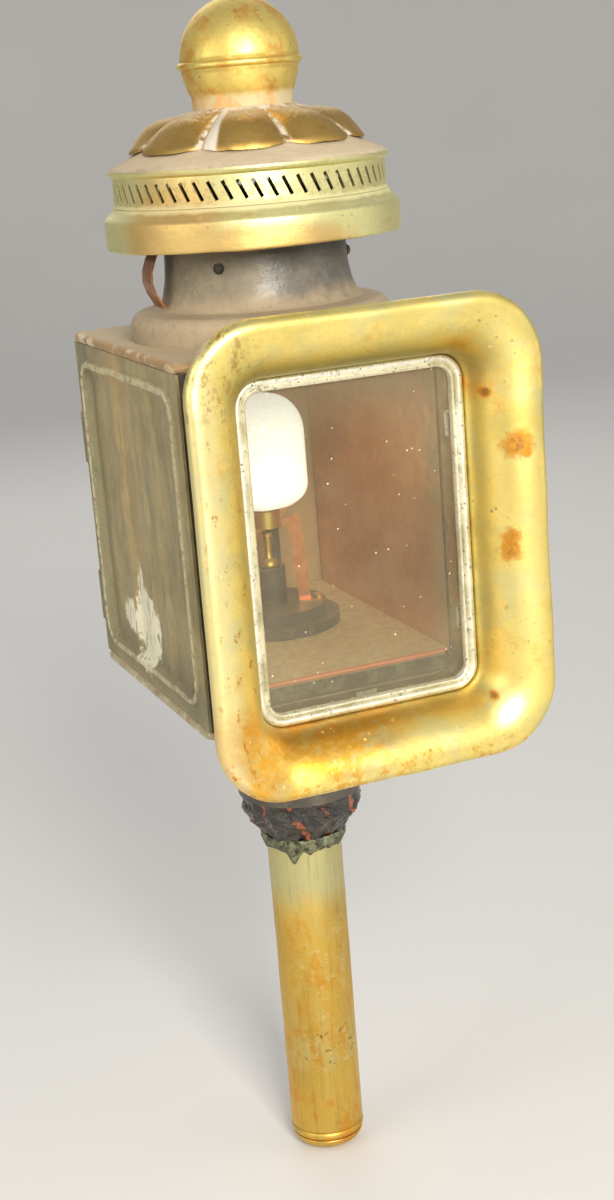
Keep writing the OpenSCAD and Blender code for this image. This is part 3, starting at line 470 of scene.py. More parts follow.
def lacquer(name, base, worn, bare, shift=0.0, dust=0.5, gloss=0.42, streaks=(1, 1, 6), metal=0.0):
    """Old lacquer on sheet metal: mottled, streaked down its length, rubbed and dusty."""
    paint = Paint(name, base, metal=metal, Specular_IOR_Level=0.5)
    clouds = paint.noise(28, detail=6, rough=0.62, shift=shift, twist=0.5)
    grain = paint.noise(0.9, detail=3, rough=0.75, shift=shift + 9)
    paint.over(worn, paint.level(clouds, 0.35, 0.65))
    paint.over(bare, paint.cloud(6, 0.45, 0.7, 0, 0.6, detail=5, rough=0.65, stretch=streaks,
                                 shift=shift + 4))
    dark = tuple(c * 0.45 for c in rgb(*base))
    paint.tint = paint.mix(paint.level(grain, 0.3, 0.8, 0, 0.35), paint.tint, dark)
    lying = paint.level(paint.sum(paint.axis(paint.normal, 2), paint.times(clouds, 0.5)), 0.85, 1.15)
    powder = paint.most(paint.times(lying, 0.85),
                        paint.cloud(9, 0.42, 0.68, 0, 0.75 * dust, detail=6, rough=0.7, shift=shift + 2))
    paint.over(DUST, powder)
    paint.rough = paint.sum(paint.times(grain, 0.12), gloss, paint.times(powder, 0.4))
    paint.bump(grain, 0.06)
    paint.bump(clouds, 0.5)
    return paint


def body_tin():
    paint = lacquer("body_tin", (142, 130, 92), (170, 152, 108), (182, 168, 128), dust=0.35, gloss=0.5,
                    metal=0.2)
    low = corners("side_panel_left")[0]
    # tan at the front, dark at the foot and towards the back, dark and pale streaks all over
    paint.over((196, 164, 112), paint.band(1, 4, 22, 6, 5, 12), 0.3)
    dark = paint.most(paint.band(2, low.z, low.z + 17, 8, 5, 10), paint.band(1, 44, 62, 6, 4, 12))
    paint.over((98, 100, 76), dark, 0.5)
    paint.over((92, 84, 58),
               paint.cloud(2.2, 0.56, 0.7, detail=5, rough=0.75, stretch=(1, 1, 14), shift=6), 0.6)
    paint.over((206, 196, 158),
               paint.cloud(1.6, 0.56, 0.72, detail=5, rough=0.8, stretch=(1, 1, 4), shift=26), 0.4)
    # a patch of bright scratches low on the left side, slanting down to the front
    area = paint.most(paint.spot((low.x, 7, low.z + 21), 9.5, 1.5, 11, 2.6, (1, 0.9, 1.1)),
                      paint.spot((low.x, 17, low.z + 23), 7, 1.5, 10, 2.6, (1, 1.5, 0.6)),
                      paint.spot((low.x, 12, low.z + 32), 5, 1.5, 8, 2.4, (1, 0.5, 1.6)))
    slant = paint.add("ShaderNodeMapping", paint.place, None, (math.radians(-32), 0, 0), (300, 520, 110))
    strokes = paint.texture("ShaderNodeTexNoise", slant.outputs[0], Detail=4).outputs["Fac"]
    paint.over((236, 230, 200), area, paint.level(strokes, 0.36, 0.44),
               paint.level(paint.along(0), -0.05, -0.052), 0.9)
    # the bead round the field is rubbed pale
    away = paint.math("ABSOLUTE", paint.along(0))
    paint.over((206, 196, 156), paint.level(away, 0.0556, 0.0562),
               paint.cloud(3, 0.38, 0.52, detail=5, rough=0.7, shift=31), 0.7)
    return paint.done()


def plate_tin():
    paint = lacquer("plate_tin", (150, 130, 100), (186, 160, 122), (168, 150, 112), shift=3, dust=0.8,
                    streaks=(3, 3, 1), gloss=0.45, metal=0.25)
    rim = paint.rim(*corners("top_plate"), 3.2, 0.9)
    above = paint.level(paint.along(2), 0.15, 0.16)
    paint.over(paint.mix(above, rgb(186, 176, 140), rgb(172, 130, 76)), rim,
               paint.cloud(7, 0.40, 0.52, detail=5, rough=0.7, shift=12), 0.75)
    paint.over((214, 206, 172), rim, paint.cloud(9, 0.52, 0.60, detail=5, rough=0.7, shift=17), 0.85)
    return paint.done()


def door_tin():
    paint = lacquer("door_tin", (112, 102, 74), (146, 130, 96), (160, 146, 112), shift=6, dust=0.4,
                    gloss=0.45, metal=0.35)
    inside = paint.level(paint.axis(paint.normal, 1), -0.3, -0.8)
    paint.over((190, 146, 102), inside, 0.8)
    return paint.done()


def neck_tin():
    paint = lacquer("neck_tin", (92, 90, 82), (124, 118, 104), (112, 108, 98), shift=8, dust=0.2,
                    gloss=0.28, streaks=(2, 2, 3), metal=0.2)
    # paler brown up the left side, part grime, part painted light on the lit side; brown grime round the
    # foot
    left = paint.level(paint.wander(0, 14, 0.022, 5), 0.008, -0.012)
    paint.over((146, 132, 106), left,
               paint.cloud(3.2, 0.36, 0.6, 0.2, 0.9, detail=6, rough=0.8, shift=19))
    low = corners("chimney_neck")[0]
    foot = paint.times(paint.band(2, low.z - 2, low.z + 15, 4, 4, 8),
                       paint.cloud(4, 0.3, 0.55, 0.45, detail=6, rough=0.8, shift=27))
    paint.over((180, 158, 126), foot, 0.85)
    paint.rough = paint.sum(paint.cloud(20, 0.3, 0.7, 0.3, 0.5), paint.times(paint.most(left, foot), 0.35))
    return paint.done()


def cone_tin():
    paint = lacquer("cone_tin", (164, 144, 120), (202, 184, 156), (182, 166, 138), shift=11, dust=1.0,
                    streaks=(2, 2, 1), gloss=0.6)
    paint.bump(paint.noise(3.2, detail=5, rough=0.7, shift=4), 0.5)
    return paint.done()


def base_tin():
    return lacquer("base_tin", (78, 76, 70), (104, 98, 84), (92, 88, 76), shift=13, dust=0.3, gloss=0.36,
                   metal=0.2).done()


def inner_tin():
    return lacquer("inner_tin", (46, 43, 38), (66, 60, 50), (84, 74, 58), shift=15, dust=0.25,
                   gloss=0.55, metal=0.2).done()


def ferrule_black():
    """Glossy black lacquer, crumpled, rubbed through to copper in slanting streaks."""
    paint = Paint("ferrule_black", (22, 19, 17), Coat_Weight=0.4, Coat_Roughness=0.15)
    slope = paint.sum(paint.times(paint.bearing(), 11.0), paint.times(paint.along(2), 100, 1.2),
                      paint.times(paint.noise(9, shift=2), 7))
    streak = paint.times(paint.level(paint.math("SINE", slope), 0.80, 0.96),
                         paint.cloud(7, 0.46, 0.56, detail=5, rough=0.7, shift=6))
    mottle = paint.noise(4, detail=5, rough=0.7, shift=1)
    paint.over((70, 60, 48), paint.level(mottle, 0.4, 0.7))
    paint.over((198, 104, 66), streak)
    paint.metal = paint.level(streak, 0.2, 0.8, 0, 0.7)
    paint.rough = paint.sum(paint.level(mottle, 0.3, 0.7, 0.14, 0.34), paint.times(streak, 0.15))
    paint.bump(mottle, 1.2)
    paint.bump(paint.noise(1.4, detail=3, shift=3), 0.2)
    return paint.done()


def mottled(name, first, second, size, low, high, gloss, depth, metal=0.0, **look):
    """A metal of two mottled colours; its roughness goes from one end of gloss to the other."""
    paint = Paint(name, first, metal=metal)
    paint.mottle = paint.noise(size, **look)
    paint.over(second, paint.level(paint.mottle, low, high))
    paint.rough = paint.level(paint.mottle, 0.3, 0.7, *gloss)
    paint.bump(paint.mottle, depth)
    return paint


def solder():
    paint = mottled("solder", (66, 66, 52), (148, 150, 118), 3, 0.35, 0.65, (0.35, 0.65), 0.5,
                            metal=0.8, detail=6, rough=0.7)
    paint.over((70, 60, 44), paint.cloud(6, 0.55, 0.66, shift=8))
    return paint.done()


def silver_bezel():
    paint = mottled("silver_bezel", (246, 243, 226), (206, 200, 172), 12, 0.38, 0.66,
                            (0.34, 0.52), 0.4, detail=6, rough=0.65)
    speck = paint.times(paint.level(paint.cells(2.0), 0.30, 0.12),
                        paint.cloud(7, 0.46, 0.56, detail=3, shift=5))
    gap = paint.cloud(2.4, 0.57, 0.63, detail=5, rough=0.8, shift=9)
    black = paint.most(speck, paint.times(gap, 0.55))
    paint.over((60, 54, 42), black, 0.85)
    paint.metal = paint.level(black, 0, 1, 0.9, 0.1)
    paint.bump(paint.noise(1.1, detail=3, shift=2), 0.08)
    return paint.done()


def copper_reflector():
    """Silver plate gone to brown copper, mottled with grey near the edges."""
    paint = Paint("copper_reflector", (232, 166, 104))
    clouds = paint.noise(26, detail=6, rough=0.62, twist=0.4)
    mottle = paint.noise(5.5, detail=6, rough=0.75, shift=4)
    low, high = corners("reflector_right")
    edge = paint.most(paint.band(2, high.z - 22, high.z + 9, 9, 8, 20),
                      paint.band(1, low.y - 6, low.y + 11, 8, 7, 18))
    grey = paint.times(edge, paint.level(mottle, 0.3, 0.6))
    floor = paint.level(paint.axis(paint.normal, 2), 0.6, 0.9)
    paint.over((212, 148, 96), paint.level(clouds, 0.35, 0.62))
    paint.over((176, 160, 128), grey, 0.75)
    paint.over((160, 120, 84), paint.level(mottle, 0.5, 0.75, 0, 0.4))
    paint.over((240, 198, 146), paint.cloud(1.0, 0.5, 0.8, 0, 0.3, detail=3, shift=9))
    paint.over((214, 182, 136), floor, 0.85)
    paint.metal = paint.level(paint.most(grey, floor), 0, 1, 0.5, 0.15)
    paint.rough = paint.level(mottle, 0.3, 0.7, 0.4, 0.58)
    paint.bump(clouds, 0.12)
    return paint.done()


def throat_tin():
    """The short tube ahead of the light chamber: copper brown at the sides, grimy at the foot."""
    paint = mottled("throat_tin", (206, 158, 108), (168, 140, 100), 5, 0.35, 0.65, (0.4, 0.6),
                            0.1, metal=0.3, detail=6, rough=0.75, shift=2)
    low, high = corners("front_throat")
    grime = paint.mix(paint.cloud(7, 0.38, 0.54, detail=6, rough=0.75), rgb(100, 102, 78), rgb(*SOOT))
    paint.over(grime, paint.band(2, low.z - 2, low.z + 12, 3, 2))
    # painted shade on the outside of the tube, where the surface faces away from its axis
    above = paint.sum(paint.along(2), -(low.z + high.z) / 2 * MM)
    outside = paint.most(paint.times(paint.axis(paint.normal, 0), paint.along(0), 30),
                         paint.times(paint.axis(paint.normal, 2), above, 20))
    paint.over((58, 54, 46), paint.level(outside, 0.1, 0.4))
    return paint.done()


def floor_copper():
    """The light chamber's floor: dusty, with a raw copper lip and a riser of grime and painted shade below
    it.
    """
    paint = mottled("floor_copper", (240, 206, 150), (212, 178, 128), 4, 0.35, 0.65,
                            (0.45, 0.7), 0.3, metal=0.3, detail=6, rough=0.75, shift=4)
    low, high = corners("floor_plate")
    front = paint.band(1, low.y - 2, low.y + 3.2, 0.6)
    # the riser: grey-green grime, its soot-dark patches painted shade
    grime = paint.mix(paint.cloud(7, 0.4, 0.56, detail=6, rough=0.75), rgb(96, 100, 78), rgb(*SOOT))
    paint.over(grime, front, paint.band(2, low.z - 1, high.z - 1.8, 0.4))
    paint.over(paint.mix(paint.mottle, rgb(236, 130, 86), rgb(214, 120, 84)), front,
               paint.band(2, high.z - 1.6, high.z + 1, 0.5))
    return paint.done()


def copper_strip():
    """The leaf springs and the contact leaf; the springs, high up, are darkened and green."""
    paint = mottled("copper_strip", (226, 148, 98), (196, 116, 68), 5, 0.35, 0.65, (0.28, 0.5),
                            0.15, metal=0.9, detail=5, rough=0.65)
    high_up = paint.level(paint.along(2), 0.2, 0.21)
    paint.over((96, 78, 54), high_up, 0.55)
    paint.over((84, 118, 92), paint.cloud(3, 0.56, 0.66, detail=5, rough=0.7, shift=6), high_up, 0.8)
    return paint.done()


def pane_glass():
    """Clear old glass under a film of dust with bright specks in it."""
    paint = Paint("pane_glass", (186, 168, 132), rough=0.6)
    low, high = corners("front_glass")
    middle = (0.002, low.y * MM, (low.z + high.z) / 2 * MM)
    away = paint.vector("LENGTH", paint.vector("SUBTRACT", paint.place, middle), output="Value")
    film = paint.sum(paint.times(paint.noise(18, detail=6, rough=0.7), 0.16),
                     paint.times(paint.level(away, 0.03, 0.065), 0.09))
    film = paint.times(film, paint.cloud(1.2, 0.25, 0.75, 0.75, 1.25, detail=3, rough=0.8, shift=5))
    dots = paint.times(paint.level(paint.cells(4.2, shift=3), 0.11, 0.06),
                       paint.cloud(9, 0.5, 0.6, detail=3, shift=8))
    paint.over((240, 230, 200), dots)
    clear = paint.add("ShaderNodeBsdfTransparent", (0.93, 0.96, 0.93))
    gloss = paint.add("ShaderNodeBsdfGlossy", (0.9, 0.95, 0.92), 0.08)
    fresnel = paint.add("ShaderNodeFresnel", 1.45)
    shine = paint.add("ShaderNodeMixShader", paint.times(fresnel.outputs[0], 0.5), clear.outputs[0],
                      gloss.outputs[0])
    whole = paint.add("ShaderNodeMixShader", paint.most(film, paint.times(dots, 0.75)),
                      shine.outputs[0], paint.shader.outputs[0])
    paint.give(paint.tree.nodes["Material Output"].inputs["Surface"], whole.outputs[0])
    return paint.done()


def opal_glass():
    paint = Paint("opal_glass", (250, 249, 238), rough=0.16, Coat_Weight=0.3, Coat_Roughness=0.1,
                  Emission_Color=(1.0, 0.98, 0.92, 1), Emission_Strength=0.9)
    paint.over((238, 236, 220), paint.noise(22, detail=3))
    return paint.done()


def black_fibre():
    paint = Paint("black_fibre", (40, 32, 32))
    film = paint.noise(6, detail=6, rough=0.7)
    dust = paint.sum(film, paint.times(paint.axis(paint.normal, 2), 0.25))
    paint.over((58, 46, 44), paint.noise(3, detail=3))
    paint.over((150, 126, 100), paint.level(dust, 0.5, 0.85, 0.05, 0.6))
    paint.rough = paint.level(film, 0.3, 0.7, 0.35, 0.6)
    paint.bump(film, 0.15)
    return paint.done()


def spring_steel():
    paint = Paint("spring_steel", (150, 148, 140), metal=1.0)
    mottle = paint.noise(4)
    paint.over((120, 112, 96), mottle)
    paint.rough = paint.level(mottle, 0.3, 0.7, 0.28, 0.45)
    paint.bump(paint.noise(0.6, detail=2), 0.02)
    return paint.done()


def wire_cover():
    paint = Paint("wire_cover", (96, 44, 34))
    weave = paint.texture("ShaderNodeTexWave", paint.scaled(2.5), Distortion=2)
    weave.bands_direction = "Z"
    paint.over((60, 30, 26), weave.outputs["Fac"])
    paint.rough = paint.level(weave.outputs["Fac"], 0, 1, 0.7, 0.9)
    paint.bump(weave.outputs["Fac"], 0.1)
    return paint.done()


# ---------------------------------------------------------------- shapes

def corners(node):
    """The lowest and highest corner of a CAD node, in millimetres."""
    low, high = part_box(node)
    return low / MM, high / MM


def piece(name, points, faces, nodes, material, sharp=38):
    """A new closed mesh, in millimetres, that stands for CAD nodes and rides on their body."""
    mesh = bpy.data.meshes.new(name)
    mesh.from_pydata([Vector(p) * MM for p in points], [], faces)
    mesh.validate()
    mesh.shade_smooth()
    mesh.set_sharp_from_angle(angle=math.radians(sharp))
    mesh.materials.append(material)
    made = link(name, mesh)
    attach(made, BODY_OF[nodes[0]])
    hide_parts(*nodes)
    return made


def soften(outline, radius, steps=3):
    """A closed outline with each corner rounded off."""
    result = []
    count = len(outline)
    for i, point in enumerate(outline):
        here = Vector(point)
        back = Vector(outline[i - 1]) - here
        ahead = Vector(outline[(i + 1) % count]) - here
        cut_back = min(radius, back.length * 0.45)
        cut_ahead = min(radius, ahead.length * 0.45)
        start = here + back.normalized() * cut_back
        end = here + ahead.normalized() * cut_ahead
        for k in range(steps + 1):
            t = k / steps
            result.append(start * (1 - t) ** 2 + here * 2 * t * (1 - t) + end * t * t)
    return result


def divided(outline, longest):
    """A closed outline with its long edges cut into shorter ones."""
    result = []
    for i, point in enumerate(outline):
        ahead = Vector(outline[(i + 1) % len(outline)])
        here = Vector(point)
        parts = max(1, math.ceil((ahead - here).length / longest))
        result += [here.lerp(ahead, k / parts) for k in range(parts)]
    return result


def arc(centre, radius, start, end, steps):
    """Points (across, height) along an arc, its angles in degrees."""
    return [(centre[0] + radius * math.cos(math.radians(start + (end - start) * k / steps)),
             centre[1] + radius * math.sin(math.radians(start + (end - start) * k / steps)))
            for k in range(steps + 1)]


def grid_faces(rows, count, closed=True):
    """Quads between rows of points, each row a ring of count points; closed joins last to first."""
    return [(i * count + j, i * count + (j + 1) % count,
             (i + 1) % rows * count + (j + 1) % count, (i + 1) % rows * count + j)
            for i in range(rows if closed else rows - 1) for j in range(count)]


def flipped(faces):
    return [face[::-1] for face in faces]


def clamp(value):
    return min(1, max(0, value))


def about(angle, radius, height):
    """A point on a ring round the axis. Noise taken there closes on itself."""
    return Vector((math.cos(angle) * radius, math.sin(angle) * radius, height))


def uneven(place):
    """Fractal noise about 0."""
    return noise.fractal(place, 0.8, 2.0, 3)


def turned(name, nodes, outline, material, steps=144, dent=0.0, size=14.0, seed=0.0, sharp=38,
           move=None):
    """Spins a closed outline of (radius, height) round the stem's axis, with shallow dents.

    A dent only pulls the sheet inwards. move(angle, radius, height) may change a point first.
    """
    points = []
    for i in range(steps):
        angle = 2 * math.pi * i / steps
        for across, height in outline:
            if move:
                across, height = move(angle, across, height)
            pull = dent * (0.5 + 0.5 * uneven(about(angle, 40 / size, height / size + seed)))
            reach = max(across - pull, 0)
            points.append((reach * math.cos(angle), reach * math.sin(angle), height))
    return piece(name, points, flipped(grid_faces(steps, len(outline))), nodes, material, sharp)


# ---------------------------------------------------------------- the bell mouth

RIM = 3.6                # radius of the rolled rim
BELL_SHEET = 1.1
COLLAR = 8               # length of the collar behind the flare


def rounded_ring(half_w, half_h, radius, low, side, corner):
    """A rounded rectangle as (x, z) points about the height low, side points along each side."""
    ring = []
    for quarter, (sx, sz) in enumerate(((1, 1), (-1, 1), (-1, -1), (1, -1))):
        centre = (sx * (half_w - radius), sz * (half_h - radius) + low)
        turn = arc(centre, radius, 90 * quarter, 90 * quarter + 90, corner)
        ring += turn
        nx, nz = ((-1, 1), (-1, -1), (1, -1), (1, 1))[quarter]
        start = Vector(turn[-1])
        goal = Vector(arc((nx * (half_w - radius), nz * (half_h - radius) + low), radius,
                          90 * quarter + 90, 90 * quarter + 90, 1)[0])
        ring += [tuple(start.lerp(goal, k / side)) for k in range(1, side)]
    return ring


def build_bell(material):
    low, high = corners("bell_mouth")
    bezel_low, bezel_high = corners("glass_bezel")
    bezel_w, bezel_h = bezel_high.x, (bezel_high.z - bezel_low.z) / 2
    span = high.x - bezel_w
    bell_h = (high.z - low.z) / 2
    back = -high.y                            # distances ahead of the stem's axis
    throat = back + COLLAR
    front = -low.y
    depth = front - throat
    bezel_z, bell_z = (bezel_low.z + bezel_high.z) / 2, (low.z + high.z) / 2
    bezel_corner, bell_corner = 9.5, 25
    reach = span - RIM
    flare = 26

    def flared(step, sheet=0.0):
        """The spread and the distance ahead of a point on the flare, or of one behind its sheet."""
        turn = math.radians(90 * step / flare)
        return (reach * (1 - math.cos(turn)) + sheet * math.cos(turn),
                throat + (depth - sheet) * math.sin(turn))

    section = [(0, back), (0, back + 4)] + [flared(i) for i in range(flare + 1)]
    section += arc((reach, front - RIM), RIM, 90, -110, 20)[1:]
    section += [(reach - 2.4, front - 2 * RIM + 1.4), (reach - 2.0, front - 2.6)]
    section += [flared(i, BELL_SHEET) for i in range(flare - 4, -1, -1)]
    section += [(BELL_SHEET, back + 4), (BELL_SHEET, back)]
    dents = [(-55, 76, 7, 1.5), (-40, 62, 5, 0.9), (-58, 200, 6, 1.0), (57, 120, 9, 0.6), (20, 214, 8, 0.7)]
    points = []
    for spread, ahead in section:
        k = spread / span
        ring = rounded_ring(bezel_w + spread, bezel_h + (bell_h - bezel_h) * k,
                            bezel_corner + (bell_corner - bezel_corner) * k,
                            bezel_z + (bell_z - bezel_z) * k, 20, 12)
        loose = clamp(spread / 6)
        for x, z in ring:
            wander = 0.5 + 0.5 * uneven(Vector((x / 30, 3.1, z / 30)))
            ripple = 0.5 + 0.5 * noise.noise(Vector((x / 11, 8.4, z / 11)))
            push = loose * (0.7 * wander + 0.18 * ripple)
            for dx, dz, size, deep in dents:
                push += loose * deep * math.exp(-((x - dx) ** 2 + (z - dz) ** 2) / (2 * size * size))
            inward = 1 - 0.006 * loose * wander
            points.append((x * inward, -(ahead - push), bell_z + (z - bell_z) * inward))
    faces = grid_faces(len(section), len(points) // len(section))
    return piece("bell_mouth_sheet", points, faces, ["bell_mouth"], material, 50)


def build_bezel(material):
    """The silvered bead: a wide round outside, a groove, and a thin lip against the glass."""
    low, high = corners("glass_bezel")
    width, height = high.x, (high.z - low.z) / 2
    middle = (low.z + high.z) / 2
    front, back = low.y, high.y
    section = [(0, back), (0, front + 2.0)]
    section += arc((1.5, front + 1.7), 1.5, 180, 360, 12)[1:]
    section = [(a, front + 1.7 - abs(b - front - 1.7)) if b > front + 1.7 and a > 0 else (a, b)
               for a, b in section]
    section += [(3.1, front + 1.6), (3.5, front + 1.0), (3.9, front + 0.7), (4.3, front + 0.9),
                (4.6, front + 1.5), (4.7, back)]
    points = []
    for inset, depth in section:
        ring = rounded_ring(width - inset, height - inset, max(9.5 - inset, 4), middle, 30, 10)
        for x, z in ring:
            wander = uneven(Vector((x / 9, 1.3, z / 9)))
            soft = 0.12 * (0.5 + 0.5 * wander) if depth < back - 0.1 else 0
            points.append((x * (1 - 0.002 * abs(wander)), depth + soft, z))
    faces = flipped(grid_faces(len(section), len(points) // len(section)))
    return piece("bezel_bead", points, faces, ["glass_bezel"], material, 60)


# ---------------------------------------------------------------- the side panels

def build_panel(name, node, side, material):
    """A pressed side: a flat border, a rubbed bead and a sunk field of wrinkled upright pleats."""
    low, high = corners(node)
    bead_rise, bead_half, sink, sheet = 1.4, 1.7, 2.0, 1.0
    face = abs(low.x if side < 0 else high.x) - bead_rise    # the border's outer face
    y0, y1, z0, z1 = low.y, high.y, low.z, high.z
    margin, fine, coarse, corner = 7.4, 0.55, 1.9, 9.0

    def steps(start, end):
        near = [start + fine * k for k in range(int(12 / fine) + 1)]
        far = [end - fine * k for k in range(int(12 / fine), -1, -1)]
        count = math.ceil((far[0] - near[-1]) / coarse)
        return near + [near[-1] + (far[0] - near[-1]) * k / count for k in range(1, count)] + far

    # how far along the field, and how high there
    pleats = [(0, -0.4), (0.29, 1.1), (0.32, 1.2), (0.345, -0.5), (0.50, 0.2), (0.53, 0.3), (0.555, -0.7),
              (0.67, 1.0), (0.70, 1.1), (0.725, -0.3), (0.94, 0.4), (0.96, -0.4), (1, 0.2)]

    def pleat(u):
        for (a, low_h), (b, high_h) in zip(pleats, pleats[1:]):
            if u <= b:
                return low_h + (high_h - low_h) * (u - a) / (b - a)
        return pleats[-1][1]

    def surface(y, z):
        wobble = uneven(Vector((y / 22, z / 34, 2.0 + side)))
        ripple = uneven(Vector((y / 5, z / 26, 5.0 + side)))
        half_y, half_z = (y1 - y0) / 2 - margin, (z1 - z0) / 2 - margin
        dy = abs(y - (y0 + y1) / 2) - half_y + corner
        dz = abs(z - (z0 + z1) / 2) - half_z + corner
        outside = math.hypot(max(dy, 0), max(dz, 0)) + min(max(dy, dz), 0) - corner
        outside += 0.5 * wobble
        bead = bead_rise * math.sqrt(max(0, 1 - (outside / bead_half) ** 2))
        if outside > 0:
            return face + bead - 0.12 * abs(wobble)
        sunk = clamp((-outside - 1.0) / 3.0)
        sunk = sunk * sunk * (3 - 2 * sunk)
        u = (y1 - margin - y) / (2 * half_y) + 0.025 * wobble
        field = face - sink + pleat(clamp(u)) + 0.45 * ripple
        return face + bead + (field - face - bead) * sunk

    ys, zs = steps(y0, y1), steps(z0, z1)
    outer = [(side * min(surface(y, z), face + bead_rise), y, z) for y in ys for z in zs]
    inner = [(side * (abs(x) - sheet), y, z) for x, y, z in outer]
    rows, count = len(ys), len(zs)
    total = len(outer)
    faces = []
    for i in range(rows - 1):
        for j in range(count - 1):
            quad = (i * count + j, i * count + j + 1, (i + 1) * count + j + 1, (i + 1) * count + j)
            faces += [quad, tuple(total + k for k in quad)[::-1]]
    edge = list(range(count)) + [i * count + count - 1 for i in range(1, rows)]
    edge += [(rows - 1) * count + j for j in range(count - 2, -1, -1)]
    edge += [i * count for i in range(rows - 2, 0, -1)]
    faces += [(a, total + a, total + b, b) for a, b in zip(edge, edge[1:] + edge[:1])]
    return piece(name, outer + inner, faces if side < 0 else flipped(faces), [node], material, 60)


# ---------------------------------------------------------------- stem, ferrule and solder

def build_stem(material):
    low, high = corners("stem_tube")
    r = high.x
    outline = divided([(r - 1.2, low.z), (r, low.z), (r, 0), (r - 0.5, 0), (r - 0.5, high.z),
                       (r - 1.2, high.z)], 6)
    return turned("stem_skin", ["stem_tube"], outline, material, 128, dent=0.35, size=18, seed=4)


def build_ferrule(material):
    """The ferrule's sheet is crumpled into leafy folds."""
    high = corners("stem_ferrule")[1]
    r = high.x
    outline = [(14.5, 0), (16.6, 0), (17.0, 3.7), (19.6, 8), (22.9, 11.4), (r, 14.5), (r, high.z),
               (r - 1.5, high.z), (r - 1.5, 15.5), (21.4, 13.2), (14.5, 9)]
    outline = divided(soften(outline, 1.0), 1.1)

    def crumple(angle, across, height):
        here = about(angle, 3.1, height / 7.5)
        fold = abs(noise.noise(here)) + 0.5 * abs(noise.noise(here * 2.3))
        depth = clamp((across - 15.6) / 2) * clamp((high.z - height) / 3)
        return across - 3.2 * fold * depth, height

    return turned("ferrule_sheet", ["stem_ferrule"], outline, material, 168, dent=0.3, size=6,
                  move=crumple, sharp=70)


def build_solder(material):
    """A wiped ring of solder with a ragged lower edge and one run down the stem's front left."""
    outline = [(15.0, 0.0), (15.4, 0.0), (16.3, 0.6), (17.0, 1.6), (17.4, 3.2), (17.2, 5.0), (16.6, 5.0),
               (16.2, 2.0)]
    outline = soften(outline, 0.5, 2)

    def run(angle, across, height):
        drip = math.exp(-((math.degrees(angle) - RUN_BEARING) / 9) ** 2) * 5.5
        here = about(angle, 4, 1.7)
        ragged = 2.6 * max(0, noise.noise(here) + 0.25) + 1.1 * abs(noise.noise(here * 3))
        low_share = clamp((3.2 - height) / 3.2)
        thin = clamp((across - 15) / 3)
        lump = 0.9 * noise.noise(about(angle, 8, height / 3))
        return (max(across + lump * thin - 0.5 * thin, 15.0), height - (drip + ragged) * low_share)

    return turned("solder_run", ["solder_seam"], outline, material, 180, move=run, sharp=70)


# ---------------------------------------------------------------- neck and cap

def build_neck(material):
    low, high = corners("chimney_neck")
    foot, throat, t = high.x, 33.0, 1.2
    shoulder = low.z + 10.5
    outer = [(foot, low.z), (foot, low.z + 5.5)] + arc((foot - 4.5, low.z + 5.5), 4.5, 0, 90, 8)[1:]
    sweep = foot - 9 - throat - 0.6
    outer += [(foot - 9 - sweep * math.sin(math.radians(a)),
               shoulder + (232 - shoulder) * (1 - math.cos(math.radians(a))))
              for a in range(0, 91, 6)]
    outer += [(throat, high.z)]
    inner = []
    for i, (across, height) in enumerate(outer):
        before, after = outer[max(i - 1, 0)], outer[min(i + 1, len(outer) - 1)]
        run = Vector((after[0] - before[0], after[1] - before[1])).normalized()
        if i in (0, len(outer) - 1):
            run = Vector((0, 1))
        inner.append((across - t * run.y, height + t * run.x))
    outline = divided(outer + inner[::-1], 3)
    return turned("neck_sheet", ["chimney_neck"], outline, material, 160, dent=0.5, size=16, seed=3)


def build_skirt(material):
    low, high = corners("cap_skirt")
    r, z0, z1 = high.x, low.z, high.z
    step = 3.2                                # how far the skirt stands out past the gallery
    outline = [(r - 1.6, z0), (r - 0.2, z0), (r, z0 + 0.8), (r, z0 + 10.3), (r - 0.8, z0 + 11.4),
               (r - step, z1 - 1.4), (r - 4, z1), (r - 5.2, z1), (r - 5.2, z1 - 1.6),
               (r - 1.6, z0 + 10.3)]
    outline = divided(soften(outline, 0.7), 2.5)

    def wavy(angle, across, height):
        lift = 0.35 * (1 + noise.noise(about(angle, 3, 0.4)))
        return across, height + lift * clamp((z0 + 5 - height) / 5)

    return turned("skirt_sheet", ["cap_skirt"], outline, material, 192, dent=0.45, size=16, seed=6,
                  move=wavy)


def build_cone(material):
    high = corners("cap_cone")[1]
    outline = [(48.4, 264.0), (50.2, 264.0), (49.6, 264.8), (42, 268.6), (34, 273.4), (26, 277.6),
               (18, 282), (4, 282), (4, 281), (17.6, 281), (25.6, 276.5), (33.6, 272.3), (41.7, 267.5)]
    outline = [(a, b - 282 + high.z) for a, b in outline]
    outline = divided(outline, 1.6)

    def lumpy(angle, across, height):
        soft = clamp((47 - across) / 5) * clamp((across - 20) / 5)
        lump = 0.5 + 0.5 * noise.fractal(about(angle, across / 9, 2.2), 0.7, 2.0, 4)
        return across, height - 0.45 * soft * lump

    return turned("cone_sheet", ["cap_cone"], outline, material, 144, move=lumpy)


